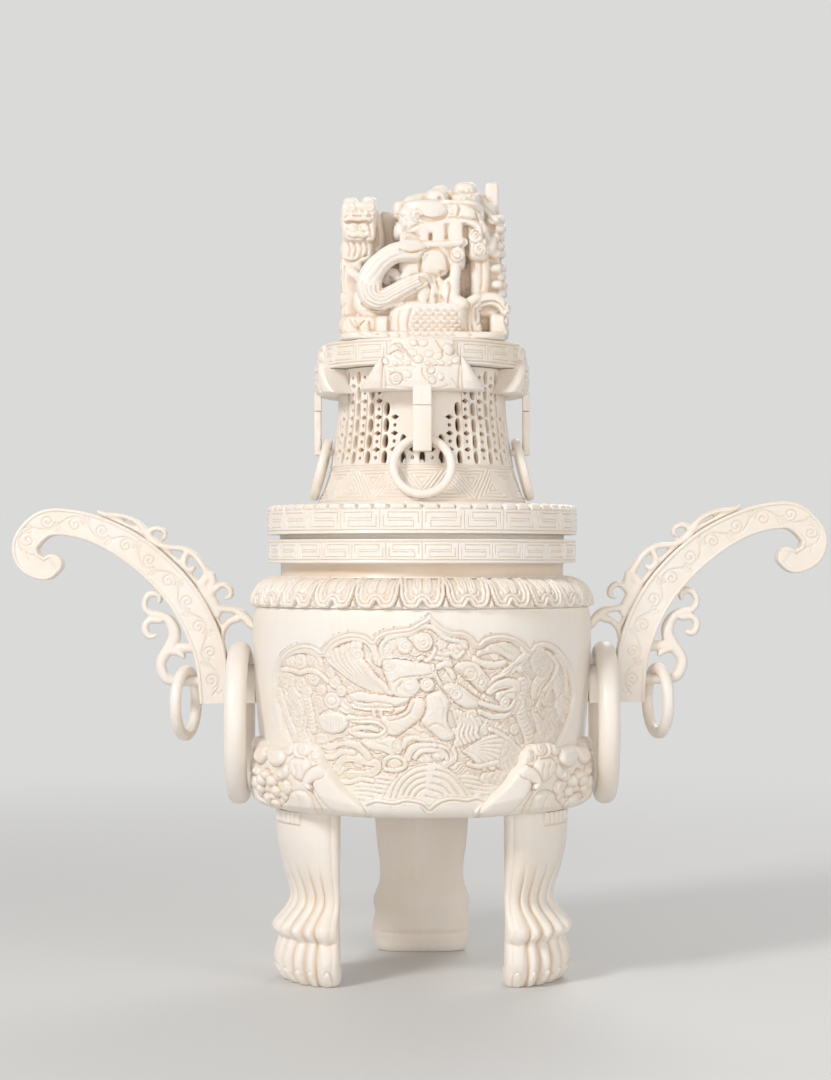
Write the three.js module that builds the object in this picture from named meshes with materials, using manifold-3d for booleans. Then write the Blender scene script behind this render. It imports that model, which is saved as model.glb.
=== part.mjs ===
// Carved tripod incense burner: a round bowl on three lion-paw legs, a pierced cover under a
// dragon finial, two scrolled handles and eight loose rings.
// Millimetres, +Z up. The origin is on the ground under the middle of the bowl, and the front faces -Y.
import * as THREE from "three";
import { mergeVertices } from "three/addons/utils/BufferGeometryUtils.js";
import Module from "manifold-3d";

const wasm = await Module();
wasm.setup();

// Driving dimensions
const clearance = 0.3; // gap where one carved piece fits in or against another
const ringPlay = 0.5; // a cover ring's gap to its strap, before the ring's flats take some up
const turnedSides = 40;

const legHeight = 80;
const legThickness = 22.5; // radially, where the leg meets the bowl
const legWidth = 45.6; // across, where the leg meets the bowl
const legInset = 1.5; // from the bowl's flange bore back to the leg's inner face
const legAngles = { front_left: -60, front_right: 60, back: 180 }; // from the front, towards +X

const bowlRadius = 81; // at the belly
const bowlHeight = 94.5; // of the carved wall
const baseStep = 11; // from the belly in to the bowl's bottom edge
const wall = 8;
const flangeHeight = 8; // the ledge at the bowl's foot, which holds the floor and the leg pegs
const flangeWidth = 18;
const floorThickness = 6;

const shoulderStep = 13; // from the belly in to the neck
const collarHeight = 13.5; // the petal band
const collarSpigot = 6;
const neckHeight = 7;
const rimHeight = 11;
const rimLip = 5.7; // the rim stands out from the neck by this

const seatHeight = 2.4; // shadow gap between the bowl's rim and the cover
const seatInset = 5.7;
const locatorDepth = 7; // how far the cover's ring reaches into the mouth
const locatorWall = 5.7;
const coverRimHeight = 14.4;
const coverRimLip = 0.5; // the cover's rim stands out from the bowl's rim by this
const skirtHeight = 64.2;
const skirtStep = 9.2; // from the mouth in to the skirt's foot
const skirtWaistStep = 10.8; // from the skirt's foot in to its waist
const skirtWall = 4;
const drumHeight = 12;
const drumLip = 8; // the drum stands out from the waist by this
const drumSpigot = 5;

const finialHeight = 78;
const finialInset = 8; // from the drum's edge in to the finial

const pegRadius = 4;
const pegDepth = 12; // into the softer of the two pieces that a peg joins
const handlePinRadius = 2.5;

const pawMaskHeight = 30;
const pawMaskProjection = 6;
const pawMaskSpan = 82; // degrees
const pawMaskCrown = 12; // the mask's face is rounder than the bowl, and thins towards its ends

const coverMaskWidth = 58; // at its lower edge
const coverMaskTopWidth = 39;
const coverMaskHeight = 21;
const coverMaskOverhang = 12; // of that height, below the drum
const coverMaskProjection = 4;
const coverMaskSpan = 88; // degrees, so that neighbours stay apart
const crestWidth = 14;
const tabHeight = 7.5;
const strapWidth = 8.7;
const strapThickness = 3.2;
const strapFoot = 2.8;
const coverRingGap = 1; // from a hanging ring down to the cover's rim
const coverAngles = { front: 0, right: 90, back: 180, left: 270 }; // from the front, towards +X

const coverRing = { radius: 13.4, tube: 2.1 };
const handleRing = { radius: 33.7, tube: 5.3 };
const scrollRing = { radius: 15.5, tube: 2.75, yaw: 13.5 };

const handleThickness = 12;
const scrollThickness = 7;
const tenonWidth = 12;
const tenonDrop = 37.2; // from the bowl's top edge down to the tenon's middle
const tenonHeight = 18.6;
const tenonLength = 12.2;
const tongue = { length: 8, height: 10, width: 6 };
const handleLift = { left: 0, right: 2 }; // degrees that each handle is turned up
const scrollBarRadius = 2.25;

// Heights and radii that follow from them
const bowlBase = legHeight;
const bowlTop = bowlBase + bowlHeight;
const neckBase = bowlTop + collarHeight;
const rimBase = neckBase + neckHeight;
const rimTop = rimBase + rimHeight;
const coverBase = rimTop + seatHeight;
const skirtBase = coverBase + coverRimHeight;
const drumBase = skirtBase + skirtHeight;
const drumTop = drumBase + drumHeight;

const baseRadius = bowlRadius - baseStep;
const flangeBore = baseRadius - flangeWidth;
const neckRadius = bowlRadius - shoulderStep;
const rimRadius = neckRadius + rimLip;
const mouthRadius = neckRadius - wall;
const skirtFootRadius = mouthRadius - skirtStep;
const waistRadius = skirtFootRadius - skirtWaistStep;
const drumRadius = waistRadius + drumLip;
const finialRadius = drumRadius - finialInset;

const degrees = Math.PI / 180;
const reach = 200; // longer than anything that a cutter has to pass through

const ivory = new THREE.MeshStandardMaterial({ color: 0xf3e7d6, roughness: 0.38, metalness: 0 });
const paleIvory = new THREE.MeshStandardMaterial({ color: 0xf7efe3, roughness: 0.32, metalness: 0 });
const pegIvory = new THREE.MeshStandardMaterial({ color: 0xe9d8bf, roughness: 0.5, metalness: 0 });

// A closed three.js geometry as a solid, with its faces turned outwards
function solidOf(geometry) {
  const bare = new THREE.BufferGeometry();
  bare.setAttribute("position", geometry.getAttribute("position").clone());
  if (geometry.index) bare.setIndex(geometry.index.clone());
  const merged = mergeVertices(bare, 1e-4);
  const corners = merged.index.array;
  const build = (flip) => {
    const triangles = [];
    for (let i = 0; i < corners.length; i += 3) {
      const [a, b, c] = [corners[i], corners[i + 1], corners[i + 2]];
      if (a === b || b === c || a === c) continue;
      triangles.push(a, flip ? c : b, flip ? b : c);
    }
    return new wasm.Manifold(
      new wasm.Mesh({
        numProp: 3,
        vertProperties: new Float32Array(merged.attributes.position.array),
        triVerts: new Uint32Array(triangles),
      }),
    );
  };
  const solid = build(false);
  return solid.volume() < 0 ? build(true) : solid;
}

function geometryOf(solid) {
  const mesh = solid.getMesh();
  const geometry = new THREE.BufferGeometry();
  geometry.setAttribute("position", new THREE.BufferAttribute(new Float32Array(mesh.vertProperties), 3));
  geometry.setIndex(new THREE.BufferAttribute(new Uint32Array(mesh.triVerts), 1));
  const flat = geometry.toNonIndexed();
  flat.computeVertexNormals();
  return flat;
}

function join(solids) {
  return solids.reduce((whole, piece) => whole.add(piece));
}

// A solid of revolution about Z from a closed outline of [radius, z]
function turned(outline, sides = turnedSides) {
  const points = outline.map(([radius, z]) => new THREE.Vector2(radius, z));
  points.push(points[0].clone());
  return solidOf(new THREE.LatheGeometry(points, sides).rotateX(Math.PI / 2));
}

function disc(radius, from, to, sides = turnedSides) {
  return turned([[0, from], [radius, from], [radius, to], [0, to]], sides);
}

function tube(outer, inner, from, to) {
  return turned([[inner, from], [outer, from], [outer, to], [inner, to]]);
}

function block(width, depth, height, x, y, z) {
  return solidOf(new THREE.BoxGeometry(width, depth, height).translate(x, y, z));
}

function post(radius, x, y, from, to, sides = 16) {
  const cylinder = new THREE.CylinderGeometry(radius, radius, to - from, sides);
  return solidOf(cylinder.rotateX(Math.PI / 2).translate(x, y, (from + to) / 2));
}

function ball(x, y, z, rx, ry, rz) {
  return solidOf(new THREE.SphereGeometry(1, 10, 6).scale(rx, ry, rz).translate(x, y, z));
}

// A slab cut to an outline of [x, z], centred on the XZ plane
function slabXZ(outline, thickness) {
  const shape = new THREE.Shape(outline.map(([x, z]) => new THREE.Vector2(x, z)));
  const geometry = new THREE.ExtrudeGeometry(shape, { depth: thickness, bevelEnabled: false });
  return solidOf(geometry.rotateX(Math.PI / 2).translate(0, thickness / 2, 0));
}

// A slab cut to an outline of [y, z], centred on the YZ plane
function slabYZ(outline, thickness) {
  const shape = new THREE.Shape(outline.map(([y, z]) => new THREE.Vector2(y, z)));
  const geometry = new THREE.ExtrudeGeometry(shape, { depth: thickness, bevelEnabled: false });
  const turn = new THREE.Matrix4().makeBasis(
    new THREE.Vector3(0, 1, 0),
    new THREE.Vector3(0, 0, 1),
    new THREE.Vector3(1, 0, 0),
  );
  return solidOf(geometry.applyMatrix4(turn).translate(-thickness / 2, 0, 0));
}

// A wedge about the axis that takes in the front, as wide as the given number of degrees
function wedge(span) {
  const [x, y] = [reach * Math.sin((span / 2) * degrees), -reach * Math.cos((span / 2) * degrees)];
  const shape = new THREE.Shape([new THREE.Vector2(0, 0), new THREE.Vector2(-x, y), new THREE.Vector2(x, y)]);
  return solidOf(new THREE.ExtrudeGeometry(shape, { depth: 2 * reach, bevelEnabled: false }));
}

// The same solid turned about the burner's axis, from the front towards +X
function atAngle(solid, angle) {
  return solid.rotate([0, 0, angle]);
}

function radiusAt(outline, z) {
  for (let i = 1; i < outline.length; i++) {
    const [r0, z0] = outline[i - 1];
    const [r1, z1] = outline[i];
    if (z >= z0 && z <= z1) return r0 + ((r1 - r0) * (z - z0)) / (z1 - z0);
  }
  return outline[outline.length - 1][0];
}

const burner = new THREE.Group();

function addPiece(name, solid, material = ivory) {
  const mesh = new THREE.Mesh(geometryOf(solid), material);
  mesh.name = name;
  burner.add(mesh);
}

// Outer lines of the turned pieces, bottom to top
const bowlLine = [
  [baseRadius, bowlBase],
  [baseRadius + 3.5, bowlBase + 2.5],
  [baseRadius + 5.4, bowlBase + 7],
  [bowlRadius - 4.3, bowlBase + bowlHeight * 0.2],
  [bowlRadius - 2.9, bowlBase + bowlHeight * 0.36],
  [bowlRadius - 1.5, bowlBase + bowlHeight * 0.54],
  [bowlRadius - 0.3, bowlBase + bowlHeight * 0.74],
  [bowlRadius, bowlBase + bowlHeight * 0.86],
  [bowlRadius - 0.5, bowlBase + bowlHeight * 0.95],
  [bowlRadius - 1.4, bowlTop],
];
const skirtLine = [
  [skirtFootRadius, skirtBase],
  [skirtFootRadius - 3.2, skirtBase + skirtHeight * 0.09],
  [skirtFootRadius - 5.6, skirtBase + skirtHeight * 0.2],
  [skirtFootRadius - 7.7, skirtBase + skirtHeight * 0.36],
  [skirtFootRadius - 9.3, skirtBase + skirtHeight * 0.52],
  [skirtFootRadius - 10.5, skirtBase + skirtHeight * 0.68],
  [waistRadius, skirtBase + skirtHeight * 0.82],
  [waistRadius + 0.3, drumBase],
];

// A solid core inside a turned line grown by a gap, used to cut what leans on it
function coreOf(line, gap) {
  const grown = line.map(([radius, z]) => [radius + gap, z]);
  return turned([[0, line[0][1]], ...grown, [0, line[line.length - 1][1]]]);
}

// The hidden inner face of a turned wall, which needs only every other point of the outer line
function innerFace(line, thickness) {
  const kept = line.filter((point, i) => i % 2 === 0 || i === line.length - 1);
  return kept.map(([radius, z]) => [radius - thickness, z]);
}

const bowlCore = coreOf(bowlLine, clearance);
const skirtCore = coreOf(skirtLine, clearance);
const collarOverhang = 1.1;

const tenonZ = bowlTop - tenonDrop;
const floorBase = bowlBase + flangeHeight;
const innerBaseRadius = baseRadius - 3;
const legOuter = flangeBore - legInset + legThickness;
const legCentre = legOuter - legThickness / 2;

function bowlPieces() {
  const inner = innerFace(bowlLine.slice(2), wall);
  inner[0] = [innerBaseRadius, floorBase];
  let bowl = turned([
    ...bowlLine,
    ...inner.slice().reverse(),
    [flangeBore, floorBase],
    [flangeBore, bowlBase],
  ]);
  for (const angle of Object.values(legAngles)) {
    const hole = post(pegRadius + clearance, 0, -legCentre, bowlBase - 1, floorBase + 1);
    bowl = bowl.subtract(atAngle(hole, angle));
  }
  const pinHole = new THREE.CylinderGeometry(
    handlePinRadius + clearance,
    handlePinRadius + clearance,
    2 * reach,
    12,
  );
  bowl = bowl.subtract(solidOf(pinHole.rotateZ(Math.PI / 2).translate(0, 0, tenonZ)));
  addPiece("bowl", bowl, paleIvory);

  const floorRadius = innerBaseRadius - clearance;
  addPiece("bowl_floor", disc(floorRadius, floorBase, floorBase + floorThickness));

  const topInner = bowlLine[bowlLine.length - 1][0] - wall;
  const collarFoot = bowlLine[bowlLine.length - 1][0] + collarOverhang;
  const round = collarFoot - neckRadius;
  addPiece(
    "petal_collar",
    turned([
      [mouthRadius, bowlTop - collarSpigot],
      [topInner - clearance, bowlTop - collarSpigot],
      [topInner - clearance, bowlTop],
      [collarFoot, bowlTop],
      [collarFoot + 0.6, bowlTop + collarHeight * 0.2],
      [collarFoot - round * 0.06, bowlTop + collarHeight * 0.5],
      [collarFoot - round * 0.28, bowlTop + collarHeight * 0.77],
      [collarFoot - round * 0.62, bowlTop + collarHeight * 0.94],
      [neckRadius, neckBase],
      [mouthRadius, neckBase],
    ]),
  );
  addPiece("neck_ring", tube(neckRadius, mouthRadius, neckBase, rimBase), paleIvory);
  addPiece("rim_ring", tube(rimRadius, mouthRadius, rimBase, rimTop), paleIvory);
}

// A leg as ellipses stacked along Z: [height, inner face, outer face, half width]
function legSolid() {
  const inner = flangeBore - legInset;
  const half = legWidth / 2;
  const rows = [
    [0, inner + 1.5, legOuter + 2.5, half - 0.8],
    [0.04, inner, legOuter + 4.5, half + 0.5],
    [0.12, inner, legOuter + 4.5, half + 0.9],
    [0.24, inner + 0.2, legOuter + 2.3, half],
    [0.35, inner + 0.5, legOuter - 2.2, half - 2.6],
    [0.5, inner + 0.6, legOuter - 7.5, half - 5],
    [0.64, inner + 0.5, legOuter - 5.6, half - 3.8],
    [0.82, inner + 0.2, legOuter - 1.2, half - 1.2],
    [1, inner, legOuter, half],
  ];
  const sides = 20;
  const positions = [];
  const corners = [];
  for (const [share, near, far, across] of rows) {
    const middle = (near + far) / 2;
    const depth = (far - near) / 2;
    for (let i = 0; i < sides; i++) {
      const turn = (2 * Math.PI * i) / sides;
      positions.push(across * Math.cos(turn), -middle - depth * Math.sin(turn), share * legHeight);
    }
  }
  for (let row = 0; row + 1 < rows.length; row++) {
    for (let i = 0; i < sides; i++) {
      const next = (i + 1) % sides;
      const [a, b] = [row * sides + i, row * sides + next];
      corners.push(a, b, b + sides, a, b + sides, a + sides);
    }
  }
  const top = (rows.length - 1) * sides;
  for (let i = 1; i + 1 < sides; i++) {
    corners.push(0, i + 1, i);
    corners.push(top, top + i, top + i + 1);
  }
  const geometry = new THREE.BufferGeometry();
  geometry.setAttribute("position", new THREE.Float32BufferAttribute(positions, 3));
  geometry.setIndex(corners);
  return solidOf(geometry);
}

function legPieces() {
  const socket = post(
    pegRadius + clearance, 0, -legCentre,
    bowlBase - pegDepth - clearance, bowlBase + 1,
  );
  const leg = legSolid().subtract(socket);
  const peg = post(pegRadius, 0, -legCentre, bowlBase - pegDepth, floorBase);
  const maskLine = bowlLine.filter(([, z]) => z <= bowlBase + pawMaskHeight + 8);
  const shell = [
    [baseRadius + clearance, bowlBase],
    [baseRadius + pawMaskProjection - 1, bowlBase],
    [baseRadius + pawMaskProjection + 4.5, bowlBase + pawMaskHeight * 0.16],
    [baseRadius + pawMaskProjection + 6.5, bowlBase + pawMaskHeight * 0.4],
    [baseRadius + pawMaskProjection + 7, bowlBase + pawMaskHeight * 0.7],
    [baseRadius + pawMaskProjection + 5.5, bowlBase + pawMaskHeight * 0.92],
    [radiusAt(maskLine, bowlBase + pawMaskHeight) + 1.5, bowlBase + pawMaskHeight],
    [flangeBore, bowlBase + pawMaskHeight],
    [flangeBore, bowlBase],
  ];
  const crown = post(
    baseRadius + pawMaskProjection + 7 - pawMaskCrown, 0, -pawMaskCrown,
    bowlBase, bowlBase + pawMaskHeight, 64,
  );
  const mask = turned(shell).intersect(crown).subtract(bowlCore).intersect(wedge(pawMaskSpan));
  for (const [place, angle] of Object.entries(legAngles)) {
    addPiece(`leg_${place}`, atAngle(leg, angle), paleIvory);
    addPiece(`leg_peg_${place}`, atAngle(peg, angle), pegIvory);
    addPiece(`lion_mask_${place}`, atAngle(mask, angle));
  }
}

// The outline of a band that follows stations of [x, z, width], square or rounded at its ends
function bandOutline(stations, steps, roundEnd = false) {
  const curve = new THREE.CatmullRomCurve3(
    stations.map(([x, z, width]) => new THREE.Vector3(x, z, width)),
    false,
    "centripetal",
  );
  const left = [];
  const right = [];
  for (let i = 0; i <= steps; i++) {
    const at = curve.getPoint(i / steps);
    const tangent = curve.getTangent(i / steps);
    const long = Math.hypot(tangent.x, tangent.y);
    const [nx, nz] = [-tangent.y / long, tangent.x / long];
    left.push([at.x + (nx * at.z) / 2, at.y + (nz * at.z) / 2]);
    right.push([at.x - (nx * at.z) / 2, at.y - (nz * at.z) / 2]);
  }
  const cap = [];
  if (roundEnd) {
    const at = curve.getPoint(1);
    const tangent = curve.getTangent(1);
    const heading = Math.atan2(tangent.y, tangent.x);
    for (const turn of [60, 20, -20, -60]) {
      const angle = heading + turn * degrees;
      cap.push([at.x + (at.z / 2) * Math.cos(angle), at.y + (at.z / 2) * Math.sin(angle)]);
    }
  }
  return [...left, ...cap, ...right.reverse()];
}

// The handle in its own frame: distance out from the belly, height above the tenon, band width
const armStations = [
  [18.7, -9.4, 13], [19.6, 9.1, 14.8], [23.5, 23.3, 15.6], [31.9, 39.4, 15.6], [43.3, 52.9, 15.2],
  [58.4, 65.2, 14.6], [75.8, 74, 13.2], [91.6, 77.3, 13], [101.2, 75.5, 13], [108.6, 67, 12.4],
  [107.2, 58.8, 11.8], [100, 54.9, 11], [95.9, 57.1, 9.8],
];
const vineStrokes = [
  [[74.6, 82.6, 1.4], [70.7, 80.9, 2.4], [64.1, 80.4, 2.4], [58.6, 78.8, 2.5], [54.2, 76, 3],
    [50.9, 72.1, 4.2]],
  [[50.9, 72.1, 4.2], [48.7, 68.8, 4.2], [44.3, 66.1, 3.2], [39.9, 65, 2.8], [33.3, 64.4, 3],
    [27.7, 61.1, 3.4], [23.9, 56.1, 3.4], [21.1, 51.7, 4.4]],
  [[50.3, 71.3, 3], [48.7, 73.5, 2.8], [45.6, 74.3, 2.6], [42.6, 72.9, 2.4], [42, 70.6, 2.2],
    [43.4, 69.1, 1.6]],
  [[31.6, 62.8, 3], [33.2, 58.9, 3.6], [32.5, 55.7, 3.2], [30, 54.1, 2.8], [28.5, 55.3, 2.2]],
  [[20.6, 43.5, 6], [19.5, 48.4, 5], [19.2, 52.3, 2]],
  [[21.1, 51.7, 4.4], [24.4, 47.3, 5], [21.7, 41.8, 6.5], [18.9, 37.4, 6.2], [17.5, 34, 5.5]],
  [[18.9, 44.4, 3.4], [16.3, 46.6, 3], [13.7, 47.2, 2.8], [10.9, 44.9, 2.8], [10.7, 41.9, 2.6],
    [12.9, 40.8, 1.8]],
  [[21.4, 40.2, 5], [18, 36.3, 4.4], [12.9, 35.4, 3.2], [7.7, 34.6, 3.8], [3.9, 31.6, 4.6],
    [0.9, 28, 3.8], [-2.5, 25.8, 2.6]],
  [[7.7, 30.8, 4], [11.6, 29.1, 3.2], [14.2, 25.2, 2.8], [14.8, 21, 2.4]],
];
const scrollStrokes = [
  [[44.8, 39.3, 2.2], [44.9, 42, 3.2], [48.4, 43.1, 3.4], [51, 41.4, 3.2], [52.1, 38, 3],
    [51, 34.8, 3.2], [48.4, 33.2, 3.6], [44.6, 32.7, 4], [40.7, 30.5, 5], [38.2, 26.4, 6],
    [37.7, 22.4, 6.2], [39.2, 18.5, 6.2], [41.2, 15.3, 5.8], [43.5, 11.9, 5.4], [44.2, 8.4, 5.2],
    [43.1, 4.6, 5.2], [40.9, 1.9, 5], [37.6, 0.8, 4.5]],
  [[45, 30.3, 4], [49.3, 30.3, 3.6], [51.7, 27.7, 3.6], [51.4, 24.7, 3.6], [49.5, 22.4, 3.2],
    [46.9, 22.8, 2.2]],
  [[39, 15.7, 4], [34.7, 17, 5], [31.7, 17, 5], [26, 16.6, 5]],
  [[39.9, 15.4, 4], [36.9, 15, 3.8], [34.4, 13.9, 3.2], [33.4, 12.8, 2.4]],
];
const scrollBar = { from: 38.6, height: 0.8, ringAt: 32.2 };

const armSteps = 26;
const strokeSteps = 7;
const scrollSteps = 20;

// A band along the arm's upper edge, which carries the vine
function vineRail() {
  const first = 2;
  const last = 6;
  const rail = 1.9;
  const stations = [];
  for (let i = first; i <= last; i++) {
    const [before, at, after] = [armStations[i - 1], armStations[i], armStations[i + 1]];
    const [dx, dz] = [after[0] - before[0], after[1] - before[1]];
    const long = Math.hypot(dx, dz);
    const out = at[2] / 2 + clearance + rail / 2 - 0.1;
    stations.push([at[0] - (dz / long) * out, at[1] + (dx / long) * out, rail]);
  }
  return stations;
}

function handleSide(side) {
  const sign = side === "left" ? -1 : 1;
  // From the handle's own frame to its place: mirrored for the left, and turned up about its root
  const place = (solid) =>
    solid
      .rotate([0, -handleLift[side], 0])
      .translate([bowlRadius, 0, tenonZ])
      .scale([sign, 1, 1]);
  const lift = handleLift[side] * degrees;
  const placePoint = ([x, z]) => [
    sign * (bowlRadius + x * Math.cos(lift) - z * Math.sin(lift)),
    tenonZ + x * Math.sin(lift) + z * Math.cos(lift),
  ];

  const grown = armStations.map(([x, z, width]) => [x, z, width + 2 * clearance]);
  grown[0] = [grown[0][0], grown[0][1] - clearance, grown[0][2]];
  const armCutter = slabXZ(bandOutline(grown, armSteps, true), 2 * handleThickness);
  const shoulder = tenonLength;
  const tongueCut = block(
    2 * (tongue.length + clearance), tongue.width + 2 * clearance, tongue.height + 2 * clearance,
    shoulder, 0, 0,
  );
  const arm = slabXZ(bandOutline(armStations, armSteps, true), handleThickness).subtract(tongueCut);
  addPiece(`handle_arm_${side}`, place(arm));

  // The tenon's top is a half round, so that the ring can swing over it
  const half = tenonWidth / 2;
  const crown = tenonHeight / 2 - half;
  const section = [[-half, -tenonHeight / 2], [half, -tenonHeight / 2]];
  for (let turn = 0; turn <= 180; turn += 30) {
    section.push([half * Math.cos(turn * degrees), crown + half * Math.sin(turn * degrees)]);
  }
  const rootDepth = 3; // past the belly line, so that the bowl's curve cuts the whole end
  const tenonBody = slabYZ(section, shoulder + rootDepth).translate([(shoulder - rootDepth) / 2, 0, 0]);
  const tongueBody = block(
    tongue.length + 1, tongue.width, tongue.height,
    shoulder + (tongue.length - 1) / 2, 0, 0,
  );
  // The arm's curved edge clears the tenon's shoulder on both sides of the tongue
  const tenon = place(join([tenonBody.subtract(armCutter), tongueBody]));
  const pinStart = bowlRadius - 1.5 - wall;
  const pinEnd = bowlRadius + shoulder - 3;
  const rod = (radius, from, to) => {
    const cylinder = new THREE.CylinderGeometry(radius, radius, to - from, 12).rotateZ(Math.PI / 2);
    return solidOf(cylinder.translate((sign * (from + to)) / 2, 0, tenonZ));
  };
  const pinBore = rod(handlePinRadius + clearance, bowlRadius - wall, pinEnd + clearance);
  addPiece(`handle_tenon_${side}`, tenon.subtract(bowlCore).subtract(pinBore));
  addPiece(`handle_pin_${side}`, rod(handlePinRadius, pinStart, pinEnd), pegIvory);

  const collarCutter = disc(bowlRadius + 1.4, bowlTop - clearance, neckBase);
  const rail = slabXZ(bandOutline(vineRail(), 12), scrollThickness);
  const vine = join([
    rail,
    ...vineStrokes.map((stroke) => slabXZ(bandOutline(stroke, strokeSteps, true), scrollThickness)),
  ]).subtract(armCutter);
  addPiece(`handle_vine_${side}`, place(vine).subtract(bowlCore).subtract(collarCutter));

  const barEnd = armStations[0][0];
  const bar = new THREE.CylinderGeometry(scrollBarRadius, scrollBarRadius, scrollBar.from - barEnd, 12);
  const scroll = join([
    solidOf(bar.rotateZ(Math.PI / 2).translate((scrollBar.from + barEnd) / 2, 0, scrollBar.height)),
    ...scrollStrokes.map((stroke, i) =>
      slabXZ(bandOutline(stroke, i ? strokeSteps : scrollSteps, true), scrollThickness),
    ),
  ]).subtract(armCutter);
  addPiece(`handle_scroll_${side}`, place(scroll));

  // The large ring hangs over the tenon, in the plane across it
  const ringAt = bowlRadius + (shoulder + 0.4) / 2;
  const [, tenonTop] = placePoint([ringAt - bowlRadius, tenonHeight / 2]);
  const inner = handleRing.radius - handleRing.tube;
  const ring = new THREE.TorusGeometry(handleRing.radius, handleRing.tube, 8, 28).rotateY(Math.PI / 2);
  ring.translate(sign * ringAt, 0, tenonTop + clearance - inner);
  addPiece(`handle_ring_${side}`, solidOf(ring), paleIvory);

  // The small ring hangs over the scroll's bar, turned a little towards the front
  const [barX, barZ] = placePoint([scrollBar.ringAt, scrollBar.height]);
  const smallInner = scrollRing.radius - scrollRing.tube;
  const small = new THREE.TorusGeometry(scrollRing.radius, scrollRing.tube, 8, 20);
  small.rotateY(Math.PI / 2).rotateZ(sign * scrollRing.yaw * degrees);
  small.translate(barX, 0, barZ + scrollBarRadius + clearance - smallInner);
  addPiece(`scroll_ring_${side}`, solidOf(small), paleIvory);
}

// The skirt is pierced between the four plain panels behind the straps
function skirtSolid() {
  const inner = innerFace(skirtLine, skirtWall);
  let skirt = turned([...skirtLine, ...inner.reverse()]);
  const columns = 16;
  const rows = 3;
  const pitch = 10;
  const lowest = skirtBase + 25;
  const half = { width: 2.6, height: 4 };
  for (let column = 0; column < columns; column++) {
    const angle = (360 / columns) * (column + 0.5);
    for (let row = 0; row < rows; row++) {
      const z = lowest + row * pitch;
      const nearest = Math.min(...Object.values(coverAngles).map((at) => {
        const apart = Math.abs(angle - at) % 360;
        return Math.min(apart, 360 - apart);
      }));
      if (nearest < 8 + 6 * row) continue;
      const lens = [[half.width, z], [0, z + half.height], [-half.width, z], [0, z - half.height]];
      const cutter = slabXZ(lens, reach / 2).translate([0, -reach / 4, 0]);
      skirt = skirt.subtract(atAngle(cutter, angle));
    }
  }
  return skirt;
}

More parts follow.
